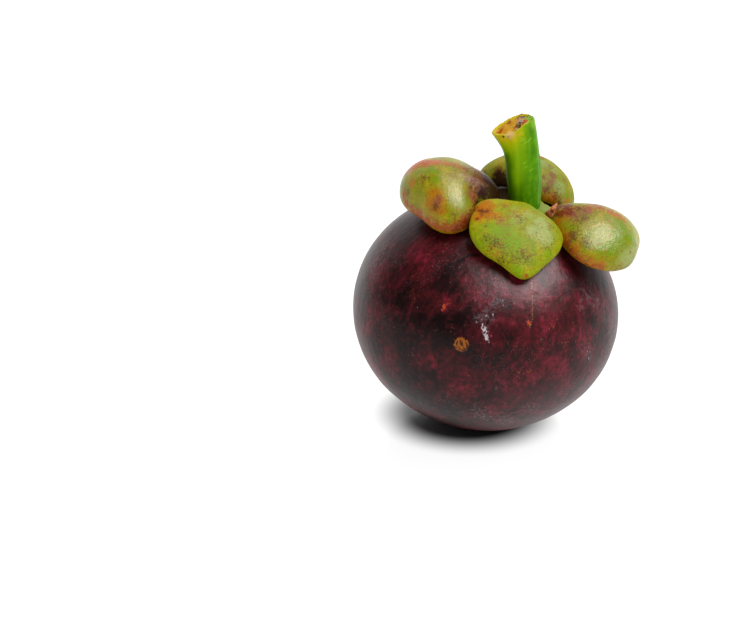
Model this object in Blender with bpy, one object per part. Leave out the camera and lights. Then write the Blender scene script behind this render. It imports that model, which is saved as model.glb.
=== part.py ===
"""A whole mangosteen, leaning a little on the flattened spot that it rests on.

Metres, +Z up, origin in the middle of the resting spot. The calyx axis leans towards +X and a
little towards -Y, and the stem stands nearly upright from it.
"""

import math

import bmesh
import bpy
from mathutils import Matrix, Vector

MM = 0.001

# The fruit: a spheroid that is a little flatter along its calyx axis, with five very faint lobes
BODY_RADIUS = 29.75 * MM
BODY_HALF_HEIGHT = 26.1 * MM
BODY_CENTRE = Vector((-1.4, 0.6, 25.55)) * MM
CALYX_LEAN = math.radians(16)
FORWARD_LEAN = math.radians(5)
BODY_LEAN = math.radians(7.2)
LOBE_COUNT = 5
LOBE_SHARE = 0.004
BASE_FLATTENING = 0.3 * MM
BASE_SPREAD = math.radians(20)
HOLLOW_DEPTH = 0.8 * MM
HOLLOW_SPREAD = math.radians(14)
RIND_SIDES = 64
RIND_RINGS = 36

# The dried stigma under the fruit, in a shallow dimple
STIGMA_LOBES = 7
STIGMA_RADIUS = 4.8 * MM
STIGMA_THICKNESS = 0.7 * MM
STIGMA_NOTCH = 0.28
STIGMA_ROUNDNESS = 0.6
STIGMA_CLEARANCE = 0.05 * MM
STIGMA_HOLLOW = 0.25 * MM
STIGMA_INNER_SHARE = 0.4
STIGMA_EDGE_SHARE = 0.97
STIGMA_UPPER_SHARE = 0.94
STIGMA_SIDES = 56
DIMPLE_DEPTH = 0.9 * MM
DIMPLE_RADIUS = 5.6 * MM
DIMPLE_EDGE = 0.5 * MM
DIMPLE_RING_SHARES = (-0.05, 0.35, 0.7, 1.05)
DIMPLE_MARGIN_ANGLE = 0.06
DIMPLE_FLOOR_ANGLE = 0.1

# The stem, which stands nearly upright from the leaning calyx
STEM_LOWER_RADIUS = 3.4 * MM
STEM_UPPER_RADIUS = 3.8 * MM
STEM_BASE_SHIFT = 0.9 * MM
STEM_TOP_SHIFT = -1.5 * MM
STEM_BEND_POWER = 2.2
STEM_HEIGHT = 19.9 * MM
STEM_SIDES = 28
STEM_LEVELS = 14
FOOT_RADIUS = 5.2 * MM
FOOT_HEIGHT = 2.2 * MM
FOOT_FILLET = 1.0 * MM
FOOT_EDGE = 0.35 * MM
FOOT_RING_SHARES = (0.4, 0.8)
END_SLOPE = math.radians(26)
END_SHOULDER = 1.2 * MM
END_SHOULDER_START = 0.3
END_FLARE = 1.3 * MM
END_FLARE_HEIGHT = 6.5 * MM
END_FLARE_POWER = 1.6
END_FLARE_FRONT_SHARE = 0.12
END_RINGS = ((1.0, 0.0), (0.86, 0.3 * MM), (0.45, -0.2 * MM))
END_HOLLOW = 0.5 * MM

# Sepals: thick cups, each a dome that is open underneath
SEPAL_THICKNESS = 1.7
SEPAL_SIDES = 40
SEPAL_RINGS = 10
RIM_ANGLE = math.radians(112)
LIP_ANGLE = math.radians(116)
OUTLINE_POWER = 2.3
CUP_BEND_RADIUS = 40
GAP = 0.3 * MM

# Angles are in degrees and lengths in millimetres. "azimuth" is counted from +X round the calyx
# axis. "out" and "up" place the dome's middle from the stem's foot. "droop" tips its outer end
# down, "roll" tips it sideways and "turn" spins it. "front" and "back" are its half lengths to the
# tip and to the foot, "left" and "right" its half widths. "skirt" is how deep its wall would close
# below the middle. A bulge is a direction from the tip, an amount and a spread.
SEPALS = {
    "sepal_left": dict(
        azimuth=183, out=18.3, up=-0.6, droop=22, roll=-5.5, turn=14,
        front=8.1, back=11.1, left=13.3, right=11.9, height=7.0, skirt=4.8,
        bulges=((46, -1.5, 35), (125, -3.3, 24), (166, 2.0, 18)),
    ),
    "sepal_front": dict(
        azimuth=265, out=11.2, up=1.9, droop=20, roll=-1, turn=-9,
        front=11.9, back=5.1, left=9.5, right=10.5, height=2.6, skirt=4.9,
        bulges=((21, 2.0, 16), (-50, 0.3, 25), (-171, 0.8, 25)),
    ),
    "sepal_right": dict(
        azimuth=-17, out=18.9, up=1.45, droop=8.5, roll=5.5, turn=14.5,
        front=8.1, back=10.8, left=8.5, right=9.5, height=5.7, skirt=3.3,
        bulges=((32, 1.5, 25), (-106, 1.8, 35), (166, 2.3, 18)),
    ),
    "sepal_back": dict(
        azimuth=79, out=15.6, up=0.2, droop=25.5, roll=-3, turn=-1,
        front=10.5, back=10.6, left=11.5, right=11.1, height=7.2, skirt=5.0,
        bulges=(),
    ),
}

FRUIT_TILT = Matrix.Rotation(FORWARD_LEAN, 4, "X") @ Matrix.Rotation(CALYX_LEAN, 4, "Y")
FRUIT_FRAME = Matrix.Translation(BODY_CENTRE) @ FRUIT_TILT
DOWN_IN_FRUIT = FRUIT_TILT.inverted().to_3x3() @ Vector((0.0, 0.0, -1.0))


def clear_scene():
    """Remove whatever the new scene starts with."""
    for obj in list(bpy.data.objects):
        bpy.data.objects.remove(obj, do_unlink=True)


def make_material(name, colour, roughness):
    """A plain finish: base colour and roughness, no metal."""
    material = bpy.data.materials.new(name)
    material.use_nodes = True
    shader = material.node_tree.nodes["Principled BSDF"]
    shader.inputs["Base Color"].default_value = (*colour, 1.0)
    shader.inputs["Roughness"].default_value = roughness
    shader.inputs["Metallic"].default_value = 0.0
    material.diffuse_color = (*colour, 1.0)
    return material


def add_object(name, bm, material):
    """Turn a finished bmesh into a smooth-shaded object."""
    bmesh.ops.recalc_face_normals(bm, faces=bm.faces)
    mesh = bpy.data.meshes.new(name)
    bm.to_mesh(mesh)
    bm.free()
    mesh.materials.append(material)
    mesh.shade_smooth()
    mesh.set_sharp_from_angle(angle=math.radians(50))
    obj = bpy.data.objects.new(name, mesh)
    bpy.context.scene.collection.objects.link(obj)
    return obj


def skin_rings(rings, first, last):
    """Join rings of points, closed by a fan to one point at each end."""
    bm = bmesh.new()
    rows = [[bm.verts.new(point) for point in ring] for ring in rings]
    sides = len(rows[0])
    for row, following in zip(rows, rows[1:]):
        for i in range(sides):
            j = (i + 1) % sides
            bm.faces.new((row[i], row[j], following[j], following[i]))
    for row, point in ((rows[0], first), (rows[-1], last)):
        middle = bm.verts.new(point)
        for i in range(sides):
            bm.faces.new((row[i], row[(i + 1) % sides], middle))
    return bm


def polar_direction(polar, azimuth):
    """Unit vector at an angle from the calyx axis and an angle round it."""
    across = math.sin(polar)
    return Vector((across * math.cos(azimuth), across * math.sin(azimuth), math.cos(polar)))


def smooth_step(value):
    """0 below 0, 1 above 1, with no corner between."""
    share = min(max(value, 0.0), 1.0)
    return share * share * (3.0 - 2.0 * share)


def rind_radius(polar, azimuth, dimple=True):
    """Distance from the fruit's middle to its skin, in the frame of the calyx axis."""
    direction = polar_direction(polar, azimuth)
    lean = BODY_LEAN - CALYX_LEAN
    along = direction.dot(Vector((math.sin(lean), 0.0, math.cos(lean))))
    across = math.sqrt(max(0.0, 1.0 - along * along))
    radius = 1.0 / math.hypot(across / BODY_RADIUS, along / BODY_HALF_HEIGHT)
    radius *= 1.0 + LOBE_SHARE * math.cos(LOBE_COUNT * azimuth) * math.sin(polar) ** 2
    radius -= BASE_FLATTENING * math.exp(-((direction.angle(DOWN_IN_FRUIT) / BASE_SPREAD) ** 2))
    radius -= HOLLOW_DEPTH * math.exp(-((polar / HOLLOW_SPREAD) ** 2))
    if dimple:
        reach = radius * math.sin(polar) if polar > math.pi / 2 else radius
        radius -= DIMPLE_DEPTH * smooth_step((DIMPLE_RADIUS - reach) / DIMPLE_EDGE)
    return radius


def rind_polar_angles():
    """Ring angles from the calyx end to the stigma end, closer together round the dimple."""
    dimple_angle = DIMPLE_RADIUS / BODY_HALF_HEIGHT
    edge_angle = DIMPLE_EDGE / BODY_HALF_HEIGHT
    last = math.pi - dimple_angle - DIMPLE_MARGIN_ANGLE
    spaced = [last * (i + 1) / RIND_RINGS for i in range(RIND_RINGS)]
    dimple = [math.pi - dimple_angle + edge_angle * share for share in DIMPLE_RING_SHARES]
    return spaced + dimple + [math.pi - DIMPLE_FLOOR_ANGLE]


def build_rind(material):
    """The whole fruit wall and its flesh as the one body that grew, flat where it rests."""
    rings = []
    for polar in rind_polar_angles():
        turns = [2 * math.pi * i / RIND_SIDES for i in range(RIND_SIDES)]
        rings.append([polar_direction(polar, a) * rind_radius(polar, a) for a in turns])
    top = Vector((0.0, 0.0, rind_radius(0.0, 0.0)))
    bottom = Vector((0.0, 0.0, -rind_radius(math.pi, 0.0)))
    bm = skin_rings(rings, top, bottom)
    bm.transform(FRUIT_FRAME)
    everything = bm.verts[:] + bm.edges[:] + bm.faces[:]
    bmesh.ops.bisect_plane(
        bm, geom=everything, plane_co=(0, 0, 0), plane_no=(0, 0, 1), clear_inner=True
    )
    bmesh.ops.holes_fill(bm, edges=bm.edges, sides=0)
    return add_object("rind", bm, material)


def stem_foot():
    """Where the calyx axis leaves the hollow on top of the fruit, in the fruit's frame."""
    return Vector((0.0, 0.0, rind_radius(0.0, 0.0)))


def build_stem(material):
    """The peduncle: a swollen foot, a round shaft and a flared end broken off aslant."""
    turns = [2 * math.pi * i / STEM_SIDES for i in range(STEM_SIDES)]
    rings = [foot_ring(share, 0.0, turns) for share in FOOT_RING_SHARES]
    rings += [foot_ring(1.0, FOOT_EDGE, turns)]
    rings += [shaft_ring(level / STEM_LEVELS, turns) for level in range(1, STEM_LEVELS)]
    rings += [end_ring(inset, lift, turns) for inset, lift in END_RINGS]
    first = FRUIT_FRAME @ (stem_foot() + Vector((0.0, 0.0, GAP)))
    last = stem_centre(1.0) - Vector((0.0, 0.0, END_HOLLOW))
    return add_object("stem", skin_rings(rings, first, last), material)


def foot_ring(share, lift, turns):
    """A ring of the stem's swollen foot, just above the rind that it grew from."""
    polar = share * FOOT_RADIUS / BODY_HALF_HEIGHT
    return [
        FRUIT_FRAME @ (polar_direction(polar, turn) * (rind_radius(polar, turn) + GAP + lift))
        for turn in turns
    ]


def stem_centre(share):
    """A point of the stem's middle line, which stands upright and then bends to the -X side."""
    height = share * STEM_HEIGHT
    shift = STEM_BASE_SHIFT * smooth_step(height / FOOT_HEIGHT)
    shift += (STEM_TOP_SHIFT - STEM_BASE_SHIFT) * share ** STEM_BEND_POWER
    return FRUIT_FRAME @ stem_foot() + Vector((shift, 0.0, height))


def stem_radius(share, turn):
    """Radius of the stem, with its spreading foot and its flared end."""
    radius = STEM_LOWER_RADIUS + (STEM_UPPER_RADIUS - STEM_LOWER_RADIUS) * smooth_step(2 * share)
    radius += (FOOT_RADIUS - STEM_LOWER_RADIUS) * math.exp(-share * STEM_HEIGHT / FOOT_FILLET)
    rise = max(0.0, 1.0 - (1.0 - share) * STEM_HEIGHT / END_FLARE_HEIGHT)
    side = (0.5 - 0.5 * math.cos(turn)) ** 2
    share_round = END_FLARE_FRONT_SHARE + (1.0 - END_FLARE_FRONT_SHARE) * side
    return radius + END_FLARE * rise ** END_FLARE_POWER * share_round


def end_height(across):
    """Height of the broken end above its middle: a slope up to +X that rounds over."""
    past_shoulder = across / STEM_UPPER_RADIUS - END_SHOULDER_START
    return across * math.tan(END_SLOPE) - END_SHOULDER * smooth_step(past_shoulder)


def shaft_ring(share, turns):
    """A ring of the stem, turning from the rind's slope to level and then to the break's slope."""
    axis = FRUIT_FRAME.to_3x3() @ Vector((0.0, 0.0, 1.0))
    level = smooth_step(share * STEM_HEIGHT / (2 * FOOT_HEIGHT))
    normal = axis.lerp(Vector((0.0, 0.0, 1.0)), level)
    broken = smooth_step(2 * share - 1)
    ring = []
    for turn in turns:
        arm = Vector((math.cos(turn), math.sin(turn), 0.0)) * stem_radius(share, turn)
        arm.z = -(arm.x * normal.x + arm.y * normal.y) / normal.z + end_height(arm.x) * broken
        ring.append(stem_centre(share) + arm)
    return ring


def end_ring(inset, lift, turns):
    """A ring of the broken face, at a share of its full width."""
    ring = []
    for turn in turns:
        arm = Vector((math.cos(turn), math.sin(turn), 0.0)) * stem_radius(1.0, turn) * inset
        arm.z = end_height(arm.x) + lift
        ring.append(stem_centre(1.0) + arm)
    return ring


def sepal_outline(shape, turn):
    """Half size of the sepal's dome seen from above, at an angle from its tip's direction."""
    along = math.cos(turn) / (shape["front"] if math.cos(turn) > 0 else shape["back"])
    across = math.sin(turn) / (shape["left"] if math.sin(turn) > 0 else shape["right"])
    radius = (abs(across) ** OUTLINE_POWER + abs(along) ** OUTLINE_POWER) ** (-1 / OUTLINE_POWER)
    for direction, amount, spread in shape["bulges"]:
        away = math.remainder(turn - math.radians(direction), 2 * math.pi)
        radius += amount * math.exp(-((away / math.radians(spread)) ** 2))
    return radius


def sepal_point(shape, bend, turn, inward):
    """A point of the dome in its own frame: +X to its tip, +Z out of the fruit."""
    reach = (sepal_outline(shape, turn) - inward) * math.sin(bend)
    depth = shape["height"] if bend < math.pi / 2 else shape["skirt"]
    height = (depth - inward) * math.cos(bend) - reach ** 2 / (2 * CUP_BEND_RADIUS)
    return Vector((reach * math.cos(turn), reach * math.sin(turn), height))


def sepal_frame(shape):
    """Where a sepal's dome sits on the fruit."""
    turn = Matrix.Rotation(math.radians(shape["azimuth"]), 4, "Z")
    place = Matrix.Translation(Vector((shape["out"], 0.0, shape["up"])) * MM)
    droop = Matrix.Rotation(math.radians(shape["droop"]), 4, "Y")
    roll = Matrix.Rotation(math.radians(shape["roll"]), 4, "X")
    spin = Matrix.Rotation(math.radians(shape["turn"]), 4, "Z")
    lift = Matrix.Translation(stem_foot())
    return FRUIT_FRAME @ lift @ turn @ place @ droop @ roll @ spin @ Matrix.Scale(MM, 4)


def build_sepal(name, shape, material):
    """A thick leathery cup, open underneath, with a rounded rim."""
    turns = [2 * math.pi * i / SEPAL_SIDES for i in range(SEPAL_SIDES)]
    bends = [RIM_ANGLE * (i + 1) / SEPAL_RINGS for i in range(SEPAL_RINGS)]
    outer = [[sepal_point(shape, bend, a, 0.0) for a in turns] for bend in bends]
    lip = [[sepal_point(shape, LIP_ANGLE, a, SEPAL_THICKNESS / 2) for a in turns]]
    inner = [[sepal_point(shape, bend, a, SEPAL_THICKNESS) for a in turns] for bend in bends[::-2]]
    frame = sepal_frame(shape)
    rings = [[frame @ point for point in ring] for ring in outer + lip + inner]
    first = frame @ sepal_point(shape, 0.0, 0.0, 0.0)
    last = frame @ sepal_point(shape, 0.0, 0.0, SEPAL_THICKNESS)
    return add_object(name, skin_rings(rings, first, last), material)


def stigma_radius(turn):
    """Outline of the rosette: rounded lobes with notches between."""
    wave = abs(math.cos(STIGMA_LOBES * turn / 2)) ** STIGMA_ROUNDNESS
    return STIGMA_RADIUS * (1.0 - STIGMA_NOTCH + STIGMA_NOTCH * wave)


def stigma_ring(share, lift, turns):
    """A ring of the rosette, at a height above the floor of its dimple."""
    ring = []
    for turn in turns:
        polar = math.pi - share * stigma_radius(turn) / BODY_HALF_HEIGHT
        radius = rind_radius(polar, turn, dimple=False) - DIMPLE_DEPTH + lift
        point = FRUIT_FRAME @ (polar_direction(polar, turn) * radius)
        point.z = max(point.z, STIGMA_CLEARANCE)
        ring.append(point)
    return ring


def build_stigma(material):
    """The stigma's dried remnant: a thin lobed plate, sunk nearly flush under the fruit."""
    turns = [2 * math.pi * i / STIGMA_SIDES for i in range(STIGMA_SIDES)]
    low, high = GAP, GAP + STIGMA_THICKNESS
    rings = [stigma_ring(share, low, turns) for share in (STIGMA_INNER_SHARE, STIGMA_EDGE_SHARE)]
    rings += [stigma_ring(1.0, (low + high) / 2, turns)]
    rings += [stigma_ring(share, high, turns) for share in (STIGMA_UPPER_SHARE, STIGMA_INNER_SHARE)]
    deep = -(rind_radius(math.pi, 0.0) + low)
    proud = -(rind_radius(math.pi, 0.0) + high - STIGMA_HOLLOW)
    first, last = (FRUIT_FRAME @ Vector((0.0, 0.0, z)) for z in (deep, proud))
    return add_object("stigma_rosette", skin_rings(rings, first, last), material)


def build():
    """Make every piece of the fruit."""
    clear_scene()
    purple = make_material("rind_skin", (0.075, 0.018, 0.022), 0.42)
    green = make_material("fresh_stem", (0.13, 0.30, 0.01), 0.40)
    leafy = make_material("sepal_skin", (0.27, 0.30, 0.03), 0.38)
    corky = make_material("dried_stigma", (0.12, 0.06, 0.03), 0.75)
    build_rind(purple)
    build_stem(green)
    for name, shape in SEPALS.items():
        build_sepal(name, shape, leafy)
    build_stigma(corky)


build()
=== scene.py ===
# %% [markdown]
# # Dressing a whole mangosteen
#
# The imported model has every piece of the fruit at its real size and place, with few faces. This
# lesson rebuilds each piece as a fine mesh of the same form, gives it a skin made of nodes, and
# lights it as in a small photo studio. Lengths are in millimetres until a mesh is made. Angles on
# the fruit are counted from its calyx axis and round it.

import math
from collections import namedtuple

import bmesh
import bpy
import numpy as np
from mathutils import Matrix, Vector, noise


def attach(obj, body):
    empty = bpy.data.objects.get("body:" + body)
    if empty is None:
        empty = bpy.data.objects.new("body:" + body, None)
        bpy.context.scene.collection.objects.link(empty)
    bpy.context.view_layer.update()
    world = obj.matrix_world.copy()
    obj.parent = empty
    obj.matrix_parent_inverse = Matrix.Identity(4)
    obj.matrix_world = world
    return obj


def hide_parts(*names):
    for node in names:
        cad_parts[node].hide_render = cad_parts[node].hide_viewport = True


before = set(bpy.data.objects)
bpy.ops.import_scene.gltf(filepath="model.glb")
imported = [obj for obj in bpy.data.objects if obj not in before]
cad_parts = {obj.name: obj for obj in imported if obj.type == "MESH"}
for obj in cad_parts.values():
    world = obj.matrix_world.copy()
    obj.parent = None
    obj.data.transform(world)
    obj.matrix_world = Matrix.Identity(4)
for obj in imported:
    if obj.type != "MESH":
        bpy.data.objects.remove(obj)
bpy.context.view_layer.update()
print("nodes:", ", ".join(sorted(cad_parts)))

# %% [markdown]
# ## A few helpers
#
# Colours are written as sRGB hex values, and one function turns them into the linear values that a shader
# works with. Another one adds a node, sets it up and wires it. The materials further down are lists of
# layers that use both.

# %% Colour and node helpers
def linear(hex_colour):
    """An sRGB hex colour as linear RGBA."""
    channels = [int(hex_colour[i:i + 2], 16) / 255 for i in (1, 3, 5)]
    return (*[c / 12.92 if c < 0.04045 else ((c + 0.055) / 1.055) ** 2.4 for c in channels], 1.0)


def add_node(tree, kind, settings=None, links=None):
    """Add a node. Settings are its properties or its sockets' values, links feed its sockets."""
    node = tree.nodes.new(kind)
    for name, value in (settings or {}).items():
        if isinstance(name, str) and hasattr(node, name):
            setattr(node, name, value)
        else:
            node.inputs[name].default_value = value
    for name, source in (links or {}).items():
        tree.links.new(source, node.inputs[name])
    return node


# %% [markdown]
# Every body here is a stack of rings with a point at each end, like a globe with its poles. So one
# function joins rings with faces, and one turns points and faces into a smooth piece that rides on
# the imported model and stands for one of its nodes. Numbers stored on the points, called
# attributes, tell the materials where a blush, a scar or a stain is.

# %% Mesh helpers
MM = 0.001


def skin(rings, first, last):
    """Points and faces of a closed body made of rings, with a point at each end."""
    rings = np.asarray(rings)
    rows, sides = rings.shape[:2]
    points = np.vstack([rings.reshape(-1, 3), first, last])
    here = np.arange(sides)
    after = (here + 1) % sides
    faces = []
    for start in range(0, (rows - 1) * sides, sides):
        ahead = start + sides
        faces += np.stack([start + here, start + after, ahead + after, ahead + here], 1).tolist()
    end = (rows - 1) * sides
    faces += [[j, i, rows * sides] for i, j in zip(here.tolist(), after.tolist())]
    faces += [[end + i, end + j, rows * sides + 1] for i, j in zip(here.tolist(), after.tolist())]
    return points, faces


def mark(piece, **fields):
    """Store a number, or a vector, for each point of a piece."""
    for name, values in fields.items():
        values = np.asarray(values, np.float32)
        kind, key = ("FLOAT_VECTOR", "vector") if values.ndim == 2 else ("FLOAT", "value")
        attribute = piece.data.attributes.new(name, kind, "POINT")
        attribute.data.foreach_set(key, values.ravel())


def add_piece(name, body, material, node=None, grain=None):
    """A smooth closed piece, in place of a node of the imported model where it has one."""
    points, faces = body
    mesh = bpy.data.meshes.new(name)
    mesh.from_pydata((np.asarray(points) * MM).tolist(), [], faces)
    shape = bmesh.new()
    shape.from_mesh(mesh)
    bmesh.ops.recalc_face_normals(shape, faces=shape.faces)
    shape.to_mesh(mesh)
    shape.free()
    mesh.shade_smooth()
    mesh.materials.append(material)
    piece = bpy.data.objects.new(name, mesh)
    bpy.context.scene.collection.objects.link(piece)
    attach(piece, "root")
    if node:
        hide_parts(node)
    mark(piece, grain=np.asarray(points if grain is None else grain) * MM)
    print(f"{name}: {len(points)} points, {len(faces)} faces")
    return piece


# %% [markdown]
# Nothing that grows is smooth all over. `ripple` gives each point a number from soft noise, whose
# waves have a real size, and `near` gives a bell of 1 to 0 round chosen places. Relief and stains
# are both built from these two.

# %% Noise and spots
def smooth_step(value):
    """0 below 0, 1 above 1, with no corner between."""
    share = np.clip(value, 0.0, 1.0)
    return share * share * (3.0 - 2.0 * share)


def ripple(points, size, octaves=2):
    """Soft noise about zero, with waves of a size in millimetres."""
    scaled = np.asarray(points) / size
    values = [noise.fractal(Vector(p), 1.0, 2.0, octaves) for p in scaled.reshape(-1, 3).tolist()]
    return np.reshape(values, scaled.shape[:-1])


def near(points, places):
    """The highest of the bells round some places, each a point, a radius and a height."""
    field = np.zeros(points.shape[:-1])
    for place, radius, height in places:
        away = np.linalg.norm(points - np.asarray(place), axis=-1)
        field = np.maximum(field, height * np.exp(-((away / radius) ** 2)))
    return field


# %% [markdown]
# ## The rind
#
# A mangosteen's rind is a leathery wall, 6 to 10 mm thick, that ripens from green to a purple that
# is nearly black. The fruit is a slightly flattened ball. It could be sculpted from a sphere, but
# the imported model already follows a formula, so the same formula with 480 points round and 200
# rings gives the same form with faces of 0.4 mm, small enough for real bumps and scars.

# %% The fruit's form
BODY_RADIUS = 29.75
BODY_HALF_HEIGHT = 26.1
BODY_CENTRE = np.array((-1.4, 0.6, 25.55))
CALYX_LEAN = math.radians(16)
FORWARD_LEAN = math.radians(5)
BODY_LEAN = math.radians(7.2)
LOBE_COUNT = 5
LOBE_SHARE = 0.004
BASE_FLATTENING = 0.3
BASE_SPREAD = math.radians(20)
HOLLOW_DEPTH = 0.8
HOLLOW_SPREAD = math.radians(14)
DIMPLE_DEPTH = 0.9
DIMPLE_RADIUS = 5.6
DIMPLE_EDGE = 0.5

FRUIT_TILT = Matrix.Rotation(FORWARD_LEAN, 4, "X") @ Matrix.Rotation(CALYX_LEAN, 4, "Y")
FRUIT_FRAME = Matrix.Translation(BODY_CENTRE) @ FRUIT_TILT
DOWN_IN_FRUIT = np.array(FRUIT_TILT.inverted().to_3x3() @ Vector((0.0, 0.0, -1.0)))
SHORT_AXIS = np.array((math.sin(BODY_LEAN - CALYX_LEAN), 0.0, math.cos(BODY_LEAN - CALYX_LEAN)))


def placed(points, matrix=FRUIT_FRAME):
    """Points moved from the fruit's own frame, or another, to where the fruit lies."""
    turn = np.array(matrix.to_3x3())
    return np.asarray(points) @ turn.T + np.array(matrix.translation)


def direction(polar, azimuth):
    """Unit vectors at an angle from the calyx axis and an angle round it."""
    polar, azimuth = np.broadcast_arrays(polar, azimuth)
    across = np.sin(polar)
    return np.stack([across * np.cos(azimuth), across * np.sin(azimuth), np.cos(polar)], -1)


def rind_radius(polar, azimuth, dimple=True):
    """Distance from the fruit's middle to its skin."""
    way = direction(polar, azimuth)
    along = way @ SHORT_AXIS
    across = np.sqrt(np.maximum(0.0, 1.0 - along ** 2))
    radius = 1.0 / np.hypot(across / BODY_RADIUS, along / BODY_HALF_HEIGHT)
    radius *= 1.0 + LOBE_SHARE * np.cos(LOBE_COUNT * azimuth) * np.sin(polar) ** 2
    from_down = np.arccos(np.clip(way @ DOWN_IN_FRUIT, -1.0, 1.0))
    radius -= BASE_FLATTENING * np.exp(-((from_down / BASE_SPREAD) ** 2))
    radius -= HOLLOW_DEPTH * np.exp(-((polar / HOLLOW_SPREAD) ** 2))
    if dimple:
        reach = np.where(polar > math.pi / 2, radius * np.sin(polar), radius)
        radius -= DIMPLE_DEPTH * smooth_step((DIMPLE_RADIUS - reach) / DIMPLE_EDGE)
    return radius


def on_rind(polar_degrees, azimuth_degrees):
    """The point of the skin at two angles in degrees, in the fruit's own frame."""
    polar, azimuth = math.radians(polar_degrees), math.radians(azimuth_degrees)
    return direction(polar, azimuth) * rind_radius(polar, azimuth)


# %% [markdown]
# The marks tell this fruit from any other, so the ones that show are listed one by one. Each is four
# numbers: its angles from the calyx and round it, a radius in millimetres and a strength. The red patches
# ripened last and the dark ones first. Haze is worn wax, and where it lies on the left and right edges of
# the rind it is a painted reflection of the white walls. The rest are small old wounds.

# %% Patches on the rind
RED = [
    (51, -152, 3, 0.6), (57, -148, 2.5, 0.5), (50, -141, 3, 0.5), (54, -115, 4, 0.8),
    (49, -112, 3, 0.9), (53, -104, 3, 0.7), (59, -110, 3, 0.5), (56, -89, 4, 0.8), (53, -83, 4, 1.0),
    (56, -76, 4, 1.0), (59, -71.5, 3, 0.7), (67, -90, 3, 0.9), (71, -92, 3, 0.6), (76, -82, 4, 0.8),
    (74, -76, 4, 0.7), (72, -66, 3, 0.7), (67, -62, 2.5, 0.6), (83, -62, 4, 0.6), (81, -54, 3, 0.5),
    (85, -68, 3, 0.5), (55, -54, 3, 0.6), (53, -63, 3, 0.5), (103, -85, 5, 0.5), (104, -75, 5, 0.5),
    (103, -96, 5, 0.4), (95, -67, 5, 0.4), (67, -80, 3, 0.7), (66, -73, 3, 0.6), (68.5, -46, 2, 0.7),
    (77, -37, 2, 0.4), (100, -108, 4, 0.2), (88, -87, 3, 0.5), (77, -97, 3, 0.4),
    (69, -118.5, 2.2, 1.1), (49, -119, 3, 0.8), (54, -102.4, 3, 0.7), (58, -106, 3, 0.6),
    (102, -82.6, 4, 0.8), (56, -51, 3, 0.8), (76, -91, 3, 0.7), (80, -66, 4, 0.6), (62, -56, 3, 0.6),
    (62, -101, 2.5, 0.5), (79, -72, 4, 0.6),
]
DARK = [
    (56, -128, 3, 0.8), (61, -126, 3.5, 1.0), (62, -120, 2.5, 0.9), (56, -123, 2, 0.7),
    (80, -126, 4, 0.9), (79, -119, 4, 1.0), (82, -113, 3.5, 1.0), (89, -125, 4, 0.8),
    (73, -110, 3, 0.9), (67, -110, 2.5, 0.8), (65, -114, 2, 0.7), (101, -124, 4, 0.7),
    (100, -115, 4, 0.7), (92, -112, 4, 0.6), (66, -41.5, 2.2, 1.0), (72, -36, 2, 1.0),
    (61, -44.5, 1.5, 0.8), (73, -88, 2, 0.9), (71, -85.5, 1.5, 0.6), (51, -58, 2, 0.7),
    (48, -63, 2, 0.5), (84, -97, 3, 0.8), (83, -90, 3, 0.9), (81, -83, 3, 0.8), (78, -77, 2.5, 0.7),
    (84, -104, 3, 0.8), (61, -81, 1.5, 0.4), (79, -140, 4, 0.6), (89, -133, 5, 0.7),
    (63, -89, 1.2, 0.4), (65, -65, 1.5, 0.5), (74, -55.5, 2, 0.5), (94, -44, 3, 0.4), (92, -68, 3, 0.3),
    (118, -114, 4, 0.4), (48, -100, 1.5, 0.4), (77, -68, 1.5, 0.6), (117, -101, 6, 0.9),
    (86, -114, 4, 0.8), (119, -117, 7, 1.0), (122, -73, 4, 0.5), (62, -115, 2, 0.5),
    (108, -120, 6, 0.8),
]
# Worn wax bloom. The wide marks on the rind's left edge and right side are painted reflection of the
# white walls.
WAX_BLOOM_AND_SHEEN = [
    (61, -98, 2, 0.9), (60, -94.6, 1.5, 1.0), (59, -101, 1.2, 0.8), (66, -100, 1.6, 0.8),
    (69, -102, 1.6, 0.9), (69, -97, 1.5, 0.8), (71, -103.5, 1.2, 0.7), (73, -98, 1.2, 0.7),
    (62, -110.5, 2.5, 0.5), (63, -106, 2, 0.5), (68, -174, 5, 0.8), (76, -169, 5, 0.8),
    (83, -160, 5, 0.7), (69, -158, 4, 0.5), (59, -164, 3, 0.5), (54, -43, 3, 0.8), (59, -37, 3, 0.8),
    (58, -49, 2, 0.7), (66, -32, 2.5, 0.7), (77, -45, 3.5, 0.7), (87, -27, 4, 0.8), (95, -47, 4, 0.6),
    (103, -51, 5, 0.7), (106, -64, 5, 0.7), (115, -87, 5, 0.6), (116, -74, 5, 0.7), (112, -100, 4, 0.4),
    (97, -85, 2, 0.6), (92, -87, 1.5, 0.5), (128, -111, 4, 0.5), (48, -77, 1.8, 0.6), (82, -21, 3, 0.7),
    (48, -45, 2, 0.5), (70, -25, 5, 0.9), (80, -21, 6, 1.0), (91, -28, 6, 1.1), (98, -40, 5, 1.0),
    (108, -44, 6, 1.0), (85, -34, 4, 0.9), (114, -54, 5, 0.8), (62, -28, 4, 0.7),
]

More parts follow.
